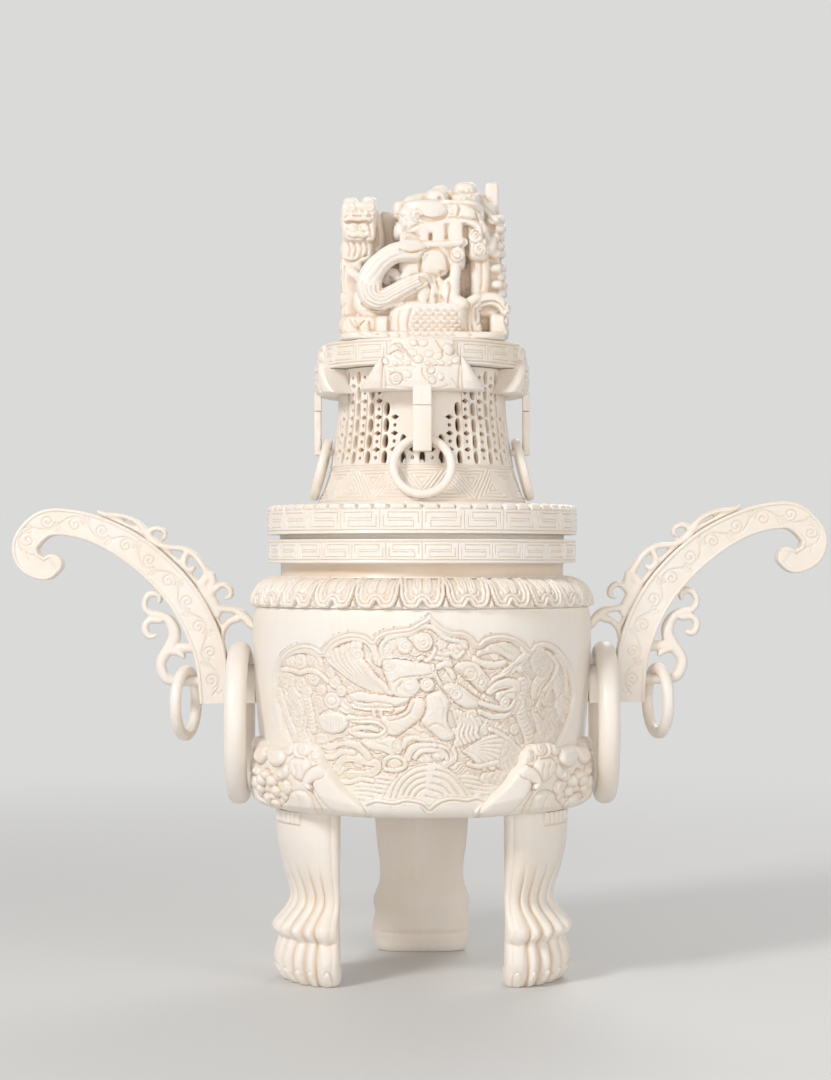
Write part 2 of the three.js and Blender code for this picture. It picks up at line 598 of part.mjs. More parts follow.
function coverPieces() {
  const locatorOuter = mouthRadius - clearance;
  const seatRadius = rimRadius - seatInset;
  addPiece(
    "cover_locating_ring",
    turned([
      [locatorOuter - locatorWall, rimTop - locatorDepth],
      [locatorOuter, rimTop - locatorDepth],
      [locatorOuter, rimTop],
      [seatRadius, rimTop],
      [seatRadius, coverBase],
      [locatorOuter - locatorWall, coverBase],
    ]),
  );
  const coverBore = skirtFootRadius - skirtWall;
  addPiece("cover_rim", tube(rimRadius + coverRimLip, coverBore, coverBase, skirtBase), paleIvory);
  addPiece("pierced_skirt", skirtSolid());

  const spigotRadius = waistRadius - skirtWall - clearance;
  const pegHole = post(pegRadius + clearance, 0, 0, drumBase - drumSpigot - 1, drumTop + 1);
  const drum = turned([
    [0, drumBase - drumSpigot],
    [spigotRadius, drumBase - drumSpigot],
    [spigotRadius, drumBase],
    [drumRadius, drumBase],
    [drumRadius, drumTop],
    [0, drumTop],
  ]).subtract(pegHole);
  addPiece("fretted_drum", drum);
  addPiece("finial_peg", post(pegRadius, 0, 0, drumBase - 2, drumTop + pegDepth - 2), pegIvory);

  const maskBase = drumBase - coverMaskOverhang;
  const maskOuter = drumRadius + coverMaskProjection;
  const plate = slabXZ(
    [
      [-coverMaskWidth / 2, maskBase],
      [coverMaskWidth / 2, maskBase],
      [coverMaskTopWidth / 2, maskBase + coverMaskHeight],
      [crestWidth / 2, maskBase + coverMaskHeight],
      [crestWidth / 4, drumTop],
      [-crestWidth / 4, drumTop],
      [-crestWidth / 2, maskBase + coverMaskHeight],
      [-coverMaskTopWidth / 2, maskBase + coverMaskHeight],
    ],
    reach / 2,
  ).translate([0, -reach / 4, 0]);
  const hug = turned([
    [waistRadius - skirtWall, maskBase],
    [maskOuter - 1, maskBase],
    [maskOuter + 0.5, maskBase + coverMaskHeight * 0.35],
    [maskOuter, maskBase + coverMaskHeight * 0.75],
    [drumRadius + 1.6, drumTop],
    [waistRadius - skirtWall, drumTop],
  ]);
  const drumCutter = disc(drumRadius + clearance, drumBase - clearance, drumTop + clearance);
  const tabBase = maskBase - tabHeight;
  const strapFace = drumRadius + 3.5;
  const tab = block(
    strapWidth, strapThickness, tabHeight + 2,
    0, -strapFace + strapThickness / 2, tabBase + (tabHeight + 2) / 2,
  );
  const face = plate.intersect(hug).intersect(wedge(coverMaskSpan));
  const mask = join([face.subtract(drumCutter).subtract(skirtCore), tab]);

  // The ring hangs clear of the cover's rim, and the strap's foot reaches down to it
  const halfStrap = strapWidth / 2;
  const hole = coverRing.radius - coverRing.tube;
  const sag = hole - Math.sqrt(hole ** 2 - halfStrap ** 2); // of the ring's hole over the strap's width
  const ringTopY = strapFace - strapThickness - coverRing.tube - sag - ringPlay;
  const ringTopZ = skirtBase + coverRingGap + 2 * coverRing.radius + coverRing.tube;
  const footTop = ringTopZ - sag - coverRing.tube - ringPlay;
  const strap = slabYZ(
    [
      [-strapFace, tabBase],
      [-strapFace, footTop - strapFoot],
      [-waistRadius, footTop - strapFoot],
      [-waistRadius, footTop],
      [-strapFace + strapThickness, footTop],
      [-strapFace + strapThickness, tabBase],
    ],
    strapWidth,
  ).subtract(skirtCore);

  // The ring leans out until its lower edge clears the skirt
  const across = 2 * coverRing.radius;
  let lean = 0;
  const clears = (angle) => {
    const z = ringTopZ - across * Math.cos(angle);
    const y = ringTopY + across * Math.sin(angle);
    return y - coverRing.tube - clearance >= radiusAt(skirtLine, Math.max(z - coverRing.tube / 2, skirtBase));
  };
  while (!clears(lean)) lean += 0.25 * degrees;
  const ring = new THREE.TorusGeometry(coverRing.radius, coverRing.tube, 8, 20)
    .rotateX(Math.PI / 2 - lean)
    .translate(
      0,
      -ringTopY - coverRing.radius * Math.sin(lean),
      ringTopZ - coverRing.radius * Math.cos(lean),
    );
  const ringSolid = solidOf(ring);
  for (const [place, angle] of Object.entries(coverAngles)) {
    addPiece(`cover_mask_${place}`, atAngle(mask, angle));
    addPiece(`strap_${place}`, atAngle(strap, angle), paleIvory);
    addPiece(`cover_ring_${place}`, atAngle(ringSolid, angle), paleIvory);
  }
}

// The finial is laid out at this size, and its masses follow when its radius or height changes
const finialLayout = { radius: 40, height: 78 };

// Its rounded masses: middle as x, y and height over the drum, then the three half sizes
const finialMasses = {
  coils: [2, -4, 15, 30, 26, 16],
  body: [2, 10, 36, 24, 20, 26],
  jaw: [9, -10, 52, 23, 22, 13],
  crown: [16, -4, 64, 17, 16, 12],
  tongue: [6, -26, 40, 10, 9, 9],
  cub: [-30, -9, 60, 9.5, 10.5, 10.5],
  backClouds: [0, 25, 24, 24, 13, 22],
};

// Its upright pillars: radius, x, y, then foot and top over the drum
const finialPillars = {
  mane: [7.5, 31.5, 2, 2, 66],
  horn: [3.6, 34, -4, 60, 78],
  cubPillar: [6, -33, -6, 2, 52],
  cloudPillar: [7, -17, 14, 2, 63],
};

// The scarf's loop: ring radius and thickness, then its middle
const finialScarf = { radius: 11.5, tube: 4.6, x: -17, y: -21, height: 33 };
const finialPlinth = 4;

function finialPiece() {
  const envelope = disc(finialRadius, drumTop, drumTop + finialHeight + 1, 32);
  const scarf = new THREE.TorusGeometry(finialScarf.radius, finialScarf.tube, 8, 16)
    .rotateX(Math.PI / 2)
    .translate(finialScarf.x, finialScarf.y, finialScarf.height);
  const spread = finialRadius / finialLayout.radius;
  const stretch = finialHeight / finialLayout.height;
  const masses = join([
    disc(finialLayout.radius, 0, finialPlinth, 32),
    ...Object.values(finialMasses).map(([x, y, up, rx, ry, rz]) => ball(x, y, up, rx, ry, rz)),
    ...Object.values(finialPillars).map(([radius, x, y, from, to]) => post(radius, x, y, from, to, 12)),
    solidOf(scarf),
  ])
    .scale([spread, spread, stretch])
    .translate([0, 0, drumTop]);
  const socket = post(pegRadius + clearance, 0, 0, drumTop - 1, drumTop + pegDepth - 2 + clearance);
  addPiece("dragon_finial", masses.intersect(envelope).subtract(socket));
}

bowlPieces();
legPieces();
handleSide("left");
handleSide("right");
coverPieces();
finialPiece();

export default burner;
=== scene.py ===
# Carved tripod incense burner: the carving, the pierced cover and the finish of every piece.
# Carvings are laid out in millimetres and turned to metres where a mesh is made. The front faces -Y.
import math

import bmesh
import bpy
import numpy as np
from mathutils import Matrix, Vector
from mathutils.geometry import delaunay_2d_cdt


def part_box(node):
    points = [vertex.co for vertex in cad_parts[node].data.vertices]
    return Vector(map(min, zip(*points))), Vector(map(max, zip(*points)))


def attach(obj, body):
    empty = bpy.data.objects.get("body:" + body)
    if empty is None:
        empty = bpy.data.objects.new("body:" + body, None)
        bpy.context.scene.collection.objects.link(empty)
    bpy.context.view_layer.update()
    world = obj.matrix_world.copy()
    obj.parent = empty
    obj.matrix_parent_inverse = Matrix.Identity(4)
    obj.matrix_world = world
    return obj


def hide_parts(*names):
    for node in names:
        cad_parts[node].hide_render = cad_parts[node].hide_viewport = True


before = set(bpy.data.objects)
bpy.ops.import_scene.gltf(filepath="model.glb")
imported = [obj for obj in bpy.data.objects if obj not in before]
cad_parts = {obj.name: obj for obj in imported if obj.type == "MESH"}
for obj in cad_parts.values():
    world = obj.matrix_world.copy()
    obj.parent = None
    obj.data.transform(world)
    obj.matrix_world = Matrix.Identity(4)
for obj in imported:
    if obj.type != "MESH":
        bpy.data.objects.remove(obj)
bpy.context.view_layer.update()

MM = 0.001
DEGREES = math.pi / 180

# Sizes that the carving shares with the turned pieces
BELLY = 81.0
BOWL_FOOT, BOWL_TOP = 80.0, 174.5
COLLAR_TOP = 188.0
NECK, MOUTH = 68.0, 60.0
RIM_FOOT, RIM_TOP, RIM = 195.0, 206.0, 73.7
COVER_FOOT, COVER_RIM_TOP, COVER_RIM = 208.4, 222.8, 74.2
SKIRT_FOOT = 50.8
DRUM_FOOT, DRUM_TOP, DRUM = 287.0, 299.0, 48.0
LEG_CENTRE, TENON_HEIGHT = 61.75, 137.3
FLOOR_LOW, FLOOR_HIGH, FLOOR_REACH = 88, 94, 66.7
LOCATOR_INNER, LOCATOR_OUTER, LOCATOR_FOOT = 54, 59.7, 199

# Angles round the burner, in degrees from the front towards the right handle
LEGS = {"front_left": -60, "front_right": 60, "back": 180}
SIDES = {"front": 0, "right": 90, "back": 180, "left": 270}

# The turned lines, as radius and height
BOWL_LINE = np.array([[70.0, 80.0], [73.5, 82.5], [75.4, 87.0], [76.7, 98.9], [78.1, 114.0], [79.5, 131.0],
    [80.7, 149.9], [81.0, 161.3], [80.5, 169.8], [79.6, 174.5]])
SKIRT_LINE = np.array([[50.8, 222.8], [47.6, 228.6], [45.2, 235.6], [43.1, 245.9], [41.5, 256.2],
    [40.3, 266.5], [40.0, 275.4], [40.3, 287.0]])


def radius_on(line, height):
    return np.interp(height, line[:, 1], line[:, 0])


# Paths and outlines


def between(before, here, there, after, t):
    """Points on a rounded line from one station to the next"""
    return 0.5 * (2 * here + (there - before) * t + (2 * before - 5 * here + 4 * there - after) * t ** 2
                  + (3 * here - before - 3 * there + after) * t ** 3)


def smooth_path(stations, closed=False, spacing=0.25):
    """Close points on a rounded line through the stations, whose columns beyond the second ride along"""
    stations = np.array(stations, float)
    count = len(stations)
    places = np.arange(count if closed else count - 1)

    def at(index):
        return stations[index % count] if closed else stations[np.clip(index, 0, count - 1)]

    pieces = []
    for i in places:
        before, here, there, after = at(i - 1), at(i), at(i + 1), at(i + 2)
        long = np.hypot(*(there - here)[:2])
        t = np.linspace(0, 1, max(2, int(long / spacing) + 1), endpoint=False)[:, None]
        pieces.append(between(before, here, there, after, t))
    if not closed:
        pieces.append(stations[-1:])
    return np.vstack(pieces)


def spiral(centre, radius, turns, start, width, inner, steps=14):
    """Stations of a curl from its outer end in to its eye: across, up and width"""
    t = np.linspace(0, 1, int(abs(turns) * steps) + 4)
    angle = start * DEGREES + 2 * math.pi * turns * t
    reach = radius * (1 - (1 - inner) * t)
    return np.stack([centre[0] + reach * np.cos(angle), centre[1] + reach * np.sin(angle),
                     width * (1 - 0.4 * t)], 1)


def inside_distance(points, outline):
    """Distance in from a closed outline, and below nought outside it"""
    start, end = outline, np.roll(outline, -1, 0)
    nearest = np.full(len(points), 1e9)
    inside = np.zeros(len(points), bool)
    for (ax, ay), (bx, by) in zip(start, end):
        dx, dy = bx - ax, by - ay
        px, py = points[:, 0] - ax, points[:, 1] - ay
        t = np.clip((px * dx + py * dy) / max(dx * dx + dy * dy, 1e-12), 0, 1)
        nearest = np.minimum(nearest, (px - t * dx) ** 2 + (py - t * dy) ** 2)
        if ay != by:
            crosses = (ay > points[:, 1]) != (by > points[:, 1])
            inside ^= crosses & (px < (points[:, 1] - ay) / (by - ay) * dx)
    return np.where(inside, 1, -1) * np.sqrt(nearest)


def depth_inside(across, up, outline):
    """Distance in from a closed outline, for a grid of points"""
    return inside_distance(np.stack([across.ravel(), up.ravel()], 1), outline).reshape(across.shape)


def rounded(share):
    """A quarter round that rises from nought to one as the share does"""
    return np.sqrt(np.clip(1 - (1 - np.clip(share, 0, 1)) ** 2, 0, 1))


def eased(value, low, high):
    """Nought below low, one above high, and a soft step between them"""
    t = np.clip((value - low) / (high - low), 0, 1)
    return t * t * (3 - 2 * t)


def peak(value, middle, width):
    """One at the middle, falling softly to nought on both sides"""
    return np.exp(-(((value - middle) / width) ** 2))


# Textures cut into a carved band, from the place along it, the place across it and its half width


def scales(size, depth=0.45):
    def cut(along, side, half):
        row = np.floor(along / size)
        place = along / size - row
        across = side / (0.95 * size) + 0.5 * (row % 2)
        across = across - np.floor(across) - 0.5
        reach = np.hypot(place, 1.8 * across)
        return depth * (np.clip(1 - reach ** 2, 0, 1) - 0.6)
    return cut


def plates(size, depth=0.5):
    def cut(along, side, half):
        bowed = along + 0.6 * (side / half) ** 2 * size
        place = bowed / size - np.floor(bowed / size) - 0.5
        return -depth * peak(place, 0, 0.14)
    return cut


def hair(spacing, depth=0.4):
    def cut(along, side, half):
        place = side / half * np.max(half) / spacing
        place = place - np.floor(place) - 0.5
        return -depth * peak(place, 0, 0.2)
    return cut


def beads(size, depth=0.4):
    def cut(along, side, half):
        return depth * (np.abs(np.sin(math.pi * along / size)) - 0.6)
    return cut


# How far the cut round a raised form reaches, in mm
MOAT = 0.85


class Relief:
    """Heights of a carving over a surface laid flat, whose columns go across and rows go up, in mm

    What is drawn on it comes from a sheet, whose function lays the sheet's stations on the surface.
    """

    def __init__(self, across, up, ground=0.0, floor=-0.4, sheet=np.array):
        self.across, self.up = across, up
        self.form = np.full(across.shape, ground)
        self.cut = np.zeros(across.shape)
        self.floor = ground + floor
        self.sheet = sheet

    @property
    def height(self):
        return np.maximum(self.form - self.cut, self.floor)

    def lay(self, spot, inside, body, cut, moat):
        """A form over what is there, with its own cuts, and a cut that runs round it"""
        self.form[spot] = np.where(inside, body, self.form[spot])
        self.cut[spot] = np.where(inside, cut, np.maximum(self.cut[spot], moat))

    def near(self, points, margin):
        low, high = points.min(0) - margin, points.max(0) + margin
        return np.nonzero((self.across > low[0]) & (self.across < high[0])
                          & (self.up > low[1]) & (self.up < high[1]))

    def measure(self, path, spot):
        """Distance from a path, side of it, length along it and its width there, for the points at a spot"""
        step = np.diff(path[:, :2], axis=0)
        long = np.concatenate([[0], np.cumsum(np.hypot(*step.T))])
        tangent = np.gradient(path[:, :2], axis=0)
        tangent /= np.maximum(np.hypot(*tangent.T), 1e-9)[:, None]
        x, y = self.across[spot], self.up[spot]
        distance, side, along, width = (np.empty(len(x)) for _ in range(4))
        block = max(1, 3_000_000 // len(path))
        for low in range(0, len(x), block):
            part = slice(low, low + block)
            dx = x[part, None] - path[:, 0]
            dy = y[part, None] - path[:, 1]
            nearest = (dx * dx + dy * dy).argmin(1)
            rows = np.arange(len(nearest))
            dx, dy = dx[rows, nearest], dy[rows, nearest]
            tx, ty = tangent[nearest].T
            lateral = dy * tx - dx * ty
            forward = dx * tx + dy * ty
            at_end = ((nearest == 0) & (forward < 0)) | ((nearest == len(path) - 1) & (forward > 0))
            side[part] = lateral
            distance[part] = np.where(at_end, np.hypot(dx, dy), np.abs(lateral))
            along[part] = long[nearest] + forward
            width[part] = path[nearest, 2]
        return distance, side, along, width

    def band(self, stations, level, rise, texture=None, sink=0.6, square=2.0):
        """A raised band through stations of across, up and width, over all that was carved before it"""
        path = smooth_path(self.sheet(stations))
        spot = self.near(path[:, :2], path[:, 2].max() / 2 + 1.2)
        if not len(spot[0]):
            return
        distance, side, along, width = self.measure(path, spot)
        half = np.maximum(width / 2, 0.05)
        share = distance / half
        body = level + rise * np.sqrt(np.clip(1 - share ** square, 0, 1))
        cut = -texture(along, side, half) * np.clip(2.2 - 2.2 * share, 0, 1) if texture else 0
        self.lay(spot, share < 1, body, cut, sink * np.clip(1 - (distance - half) / MOAT, 0, 1))

    def line(self, stations, depth, width=0.6):
        """A line cut into what is there"""
        self.cut_along(smooth_path(self.widened(self.sheet(stations), width)), depth, width)

    def widened(self, stations, width):
        return np.column_stack([stations[:, :2], np.full(len(stations), float(width))])

    def cut_along(self, path, depth, width):
        spot = self.near(path[:, :2], width)
        if not len(spot[0]):
            return
        distance = self.measure(path, spot)[0]
        self.cut[spot] += depth * np.clip(1 - (distance / (width / 2 + 0.25)) ** 2, 0, 1)

    def boss(self, x, y, radii, level, rise, turn=0, sink=0.6, ring=None, square=2.0):
        """A rounded oval, with an optional cut ring at a share of its radius"""
        centre = self.sheet([[x, y]])[0]
        reach = max(radii) + 1.2
        spot = self.near(np.array([centre, centre], float), reach)
        dx, dy = self.across[spot] - centre[0], self.up[spot] - centre[1]
        c, s = math.cos(turn * DEGREES), math.sin(turn * DEGREES)
        share = np.hypot((dx * c + dy * s) / radii[0], (dy * c - dx * s) / radii[1])
        body = level + rise * np.sqrt(np.clip(1 - share ** square, 0, 1))
        cut = 0.5 * np.exp(-(((share - ring) * min(radii) / 0.35) ** 2)) if ring else 0
        self.lay(spot, share < 1, body, cut, sink * np.clip(1 - (share - 1) * min(radii) / MOAT, 0, 1))

    def plate(self, outline, level, rise, edge=1.8, sink=0.6, texture=None):
        """A smooth raised plate inside a closed outline"""
        outline = smooth_path(self.sheet(outline), closed=True, spacing=0.8)
        spot = self.near(outline, 1.2)
        deep = depth_inside(self.across[spot], self.up[spot], outline)
        body = level + rise * rounded(deep / edge)
        cut = -texture(self.across[spot], self.up[spot]) * np.clip(deep / 0.8, 0, 1) if texture else 0
        self.lay(spot, deep > 0, body, cut, sink * np.clip(1 + deep / MOAT, 0, 1))

    def whorl(self, x, y, radius, turns, start, depth=0.5, width=0.5, inner=0.12):
        """A spiral line cut round a place on the sheet, with its radius in mm"""
        stations = spiral(self.sheet([[x, y]])[0], radius, turns, start, 1, inner)
        self.cut_along(smooth_path(self.widened(stations, width)), depth, width)

    def curl(self, x, y, radius, level, rise, turns=1.3, start=0, cut=0.5):
        """A round boss with a spiral line cut in it"""
        self.boss(x, y, (radius, radius), level, rise, square=2.6)
        self.whorl(x, y, radius * 0.72, turns, start, cut)


# Meshes


def loft(rings, around=False):
    """Points and faces of one closed surface over rings of points, joined round the burner or capped"""
    count, size = rings.shape[:2]
    ids = np.arange(count * size).reshape(count, size)
    here = ids if around else ids[:-1]
    there = np.roll(ids, -1, 0) if around else ids[1:]
    quads = np.stack([here, np.roll(here, -1, 1), np.roll(there, -1, 1), there], -1)
    faces = quads.reshape(-1, 4).tolist()
    if not around:
        faces += [ids[0][::-1].tolist(), ids[-1].tolist()]
    return rings.reshape(-1, 3), faces


def started(name, points, edges, faces):
    """A new object from points in mm"""
    mesh = bpy.data.meshes.new(name)
    mesh.from_pydata((np.array(points) * MM).tolist(), edges, faces)
    piece = bpy.data.objects.new(name, mesh)
    bpy.context.scene.collection.objects.link(piece)
    return piece


def carved(name, *shells):
    """An object from closed shells of points in mm and their faces, with the faces turned outwards"""
    points, faces, first = [], [], 0
    for shell_points, shell_faces in shells:
        points.append(shell_points)
        faces += [[first + i for i in face] for face in shell_faces]
        first += len(shell_points)
    piece = started(name, np.vstack(points), [], faces)
    shape = bmesh.new()
    shape.from_mesh(piece.data)
    bmesh.ops.recalc_face_normals(shape, faces=shape.faces)
    shape.to_mesh(piece.data)
    shape.free()
    return piece


def pick(piece):
    bpy.ops.object.select_all(action="DESELECT")
    bpy.context.view_layer.objects.active = piece
    piece.select_set(True)


def settle(piece):
    """Puts a piece's place into its mesh, so that its object sits at the origin"""
    pick(piece)
    bpy.ops.object.transform_apply(location=True, rotation=True, scale=True)


def modify(piece, kind, **settings):
    pick(piece)
    modifier = piece.modifiers.new(kind.title(), kind)
    for key, value in settings.items():
        setattr(modifier, key, value)
    bpy.ops.object.modifier_apply(modifier=modifier.name)


def ease_edges(piece, width=0.5, segments=3):
    modify(piece, "BEVEL", width=width * MM, segments=segments, limit_method="ANGLE",
        angle_limit=40 * DEGREES)


def edit(piece, *steps):
    """Takes all of a piece through steps of edit mode, each an operator and its settings"""
    pick(piece)
    bpy.ops.object.mode_set(mode="EDIT")
    for step, settings in steps:
        bpy.ops.mesh.select_all(action="SELECT")
        step(**settings)
    bpy.ops.mesh.select_all(action="SELECT")
    bpy.ops.mesh.normals_make_consistent(inside=False)
    bpy.ops.object.mode_set(mode="OBJECT")


def turned(angle):
    """The turn about the burner's axis that carries the front to an angle towards +X"""
    c, s = math.cos(angle * DEGREES), math.sin(angle * DEGREES)
    return np.array([[c, -s, 0], [s, c, 0], [0, 0, 1]])


def on_cylinder(angle, radius, height):
    """Points at an angle from the front towards +X, in radians"""
    angle, radius, height = np.broadcast_arrays(angle, radius, height)
    return np.stack([radius * np.sin(angle), -radius * np.cos(angle), height], -1)


def read(mesh, kind):
    """The places or the normals of a mesh's points, as rows"""
    values = np.empty(len(mesh.vertices) * 3)
    mesh.vertices.foreach_get(kind, values)
    return values.reshape(-1, 3)


def hollows(piece, rounds, depth):
    """How far each point lies in a hollow, from nought to one at a depth in mm, which sets its share of
    painted shade
    """
    mesh = piece.data
    count = len(mesh.vertices)
    place, normal = read(mesh, "co"), read(mesh, "normal")
    ends = np.empty(len(mesh.edges) * 2, np.int32)
    mesh.edges.foreach_get("vertices", ends)
    a, b = ends.reshape(-1, 2).T
    both, other = np.concatenate([a, b]), np.concatenate([b, a])
    links = np.maximum(np.bincount(both, minlength=count), 1)
    smooth = place.copy()
    for _ in range(rounds):
        mean = np.stack([np.bincount(both, smooth[other, k], count) / links for k in range(3)], 1)
        smooth = 0.4 * smooth + 0.6 * mean
    deep = ((smooth - place) * normal).sum(1) / MM
    return np.clip(deep / depth, -1, 1)


def finish(piece, body, finish_name, *nodes, crease=35, rounds=14, depth=0.35, shade_strength=1.0, deep=None):
    """Shades, colours and mounts a finished piece, which stands for the named nodes, with painted shade in
    its hollows
    """
    pick(piece)
    bpy.ops.object.shade_smooth_by_angle(angle=crease * DEGREES)
    # Painted shade: the depth of each hollow, scaled and with any deep share added, is stored as the hollow
    # attribute
    value = hollows(piece, rounds, depth)
    if deep is not None:
        value = np.clip(np.maximum(value, 0) * shade_strength + deep, 0, 1)
    attribute = piece.data.attributes.new("hollow", "FLOAT", "POINT")
    attribute.data.foreach_set("value", value.astype(np.float32))
    piece.data.materials.clear()
    piece.data.materials.append(MATERIALS[finish_name])
    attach(piece, body)
    if nodes:
        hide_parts(*nodes)


# Materials


def shader_node(tree, kind, inputs=None, **settings):
    """A new shader node: its settings, and its inputs as plain values or as other nodes' outputs"""
    node = tree.nodes.new("ShaderNode" + kind)
    for key, value in settings.items():
        setattr(node, key, value)
    for key, value in (inputs or {}).items():
        if isinstance(value, bpy.types.NodeSocket):
            tree.links.new(value, node.inputs[key])
        else:
            node.inputs[key].default_value = value
    return node


def ivory(name, colour, shade_colour, roughness, stain):
    """Old white carving stock, faintly grained and clouded, with painted shade in a warmer, darker colour in
    its hollows
    """
    material = bpy.data.materials.new(name)
    material.use_nodes = True
    tree = material.node_tree
    tree.nodes.clear()
    place = shader_node(tree, "TexCoord").outputs["Object"]

    def noise(scale, stretch, detail):
        mapping = shader_node(tree, "Mapping", {"Scale": stretch, "Vector": place})
        inputs = {"Scale": scale, "Detail": detail, "Vector": mapping.outputs["Vector"]}
        return shader_node(tree, "TexNoise", inputs).outputs["Fac"]

    def remap(source, low, high, to_low, to_high):
        inputs = {"Value": source, "From Min": low, "From Max": high, "To Min": to_low, "To Max": to_high}
        return shader_node(tree, "MapRange", inputs).outputs["Result"]

    def mixed(share, first, second):
        # A mix node has its two colours at 6 and 7, and the mixed colour at 2
        return shader_node(tree, "Mix", {0: share, 6: first, 7: second}, data_type="RGBA").outputs[2]

    def tint(*factors):
        return (*(c * f for c, f in zip(colour, factors)), 1)

    clouds = noise(38, (1, 1, 1), 3)
    grain = noise(420, (1, 1, 0.12), 2)
    specks = noise(900, (1, 1, 1), 2)
    body = mixed(remap(clouds, 0.45, 0.72, 0, stain), tint(1, 1, 1), tint(0.97, 0.93, 0.86))
    body = mixed(remap(grain, 0.52, 0.78, 0, 0.45), body, tint(0.96, 0.93, 0.89))
    # Painted shade: the hollow attribute mixes in the darker shade colour, stronger or weaker under the
    # clouds
    hollow = shader_node(tree, "Attribute", attribute_name="hollow").outputs["Fac"]
    shares = {0: remap(hollow, 0.05, 0.95, 0, 0.85), 1: remap(clouds, 0.3, 0.7, 0.75, 1.1)}
    shade_share = shader_node(tree, "Math", shares, operation="MULTIPLY").outputs["Value"]
    bump = shader_node(tree, "Bump", {"Strength": 0.25, "Distance": 0.00012, "Height": specks})
    shader = shader_node(tree, "BsdfPrincipled", {
        "Base Color": mixed(shade_share, body, (*shade_colour, 1)),
        "Roughness": remap(clouds, 0.3, 0.7, roughness - 0.05, roughness + 0.08),
        "IOR": 1.5,
        "Subsurface Weight": 0.12,
        "Subsurface Radius": (1.0, 0.55, 0.3),
        "Subsurface Scale": 0.0015,
        "Normal": bump.outputs["Normal"],
    })
    shader_node(tree, "OutputMaterial", {"Surface": shader.outputs["BSDF"]})
    return material


# Each finish: its colour, the colour of the painted shade in its hollows, its roughness and its cloudy stain
MATERIALS = {
    "polished_white": ivory("polished_white", (0.90, 0.835, 0.765), (0.74, 0.59, 0.44), 0.34, 0.5),
    "carved_white": ivory("carved_white", (0.885, 0.815, 0.74), (0.72, 0.55, 0.40), 0.42, 0.7),
    "peg_stock": ivory("peg_stock", (0.80, 0.71, 0.58), (0.66, 0.50, 0.36), 0.5, 0.6),
}

# The floor, the lights and the camera


BACKDROP = (0.70, 0.70, 0.695, 1)


def seen_directly(tree):
    """One for a ray from the camera, or one by way of a gloss or through a clear piece, and else nought"""
    ray = shader_node(tree, "LightPath")
    total = ray.outputs["Is Camera Ray"]
    for kind in ("Is Glossy Ray", "Is Transmission Ray"):
        total = shader_node(tree, "Math", {0: total, 1: ray.outputs[kind]}, use_clamp=True).outputs["Value"]
    return total


def pale_floor():
    """A plain floor that keeps the burner's shadow and fades into the backdrop further off"""
    pale = bpy.data.materials.new("pale_floor")
    pale.use_nodes = True
    tree = pale.node_tree
    shader = tree.nodes["Principled BSDF"]
    shader.inputs["Base Color"].default_value = (0.70, 0.695, 0.685, 1)
    shader.inputs["Roughness"].default_value = 0.55
    far = shader_node(tree, "Emission", {"Color": BACKDROP}).outputs["Emission"]
    place = shader_node(tree, "TexCoord").outputs["Object"]
    away = shader_node(tree, "VectorMath", {0: place}, operation="LENGTH").outputs["Value"]
    reach = {"From Min": 0.3, "From Max": 1.15, "Value": away}
    fade = shader_node(tree, "MapRange", reach, interpolation_type="SMOOTHSTEP").outputs["Result"]
    share = shader_node(tree, "Math", {0: fade, 1: seen_directly(tree)},
        operation="MULTIPLY").outputs["Value"]
    mix = shader_node(tree, "MixShader", {"Fac": share, 1: shader.outputs["BSDF"], 2: far})
    tree.links.new(mix.outputs["Shader"], tree.nodes["Material Output"].inputs["Surface"])
    return pale


def stage_and_light():
    bpy.ops.mesh.primitive_plane_add(size=24, location=(0, 0, 0))
    floor = bpy.context.object
    floor.name = "floor"
    floor.data.materials.append(pale_floor())

    def lamp(name, place, size, watts):
        data = bpy.data.lights.new(name, "AREA")
        data.size = size
        data.energy = watts
        light = bpy.data.objects.new(name, data)
        bpy.context.scene.collection.objects.link(light)
        light.location = place
        aim = np.array([0, 0, 0.17]) - np.array(place)
        yaw = math.atan2(aim[1], aim[0]) - math.pi / 2
        pitch = math.atan2(aim[2], math.hypot(aim[0], aim[1])) + math.pi / 2
        light.rotation_euler = (pitch, 0, yaw)

    lamp("key", (-0.95, -1.05, 1.15), 0.36, 14.5)
    lamp("fill", (1.1, -1.1, 0.6), 0.7, 4.5)
    lamp("low", (-0.15, -1.75, 0.16), 0.5, 5.5)
    lamp("back", (0.5, 1.3, 1.1), 0.8, 6.5)

    world = bpy.data.worlds.new("studio")
    bpy.context.scene.world = world
    world.use_nodes = True
    tree = world.node_tree
    tree.nodes.clear()
    soft = shader_node(tree, "Background", {"Color": (1, 0.985, 0.96, 1),
        "Strength": 0.40}).outputs["Background"]
    seen = shader_node(tree, "Background", {"Color": BACKDROP, "Strength": 1}).outputs["Background"]
    mix = shader_node(tree, "MixShader", {"Fac": seen_directly(tree), 1: soft, 2: seen})
    shader_node(tree, "OutputWorld", {"Surface": mix.outputs["Shader"]})
    bpy.context.scene.view_settings.view_transform = "Standard"

    data = bpy.data.cameras.new("camera")
    data.lens = 80
    data.sensor_width = 36
    data.clip_start, data.clip_end = 0.05, 30
    camera = bpy.data.objects.new("camera", data)
    bpy.context.scene.collection.objects.link(camera)
    camera.location = (-0.0031, -1.152, 0.197)
    camera.rotation_euler = ((90 + 0.4476) * DEGREES, 0, 0)
    bpy.context.scene.camera = camera


stage_and_light()

# Turned and plain pieces


def spun(name, outline, bevel, steps=160):
    """A closed outline of radius and height, spun round the burner's axis, with its edges eased"""
    count = len(outline)
    piece = started(name, [(r, 0, z) for r, z in outline], [(i, (i + 1) % count) for i in range(count)], [])
    whole_turn = {"steps": steps, "angle": 2 * math.pi, "center": (0, 0, 0), "axis": (0, 0, 1)}
    edit(piece, (bpy.ops.mesh.spin, whole_turn), (bpy.ops.mesh.remove_doubles, {"threshold": 0.000005}))
    ease_edges(piece, bevel)
    return piece


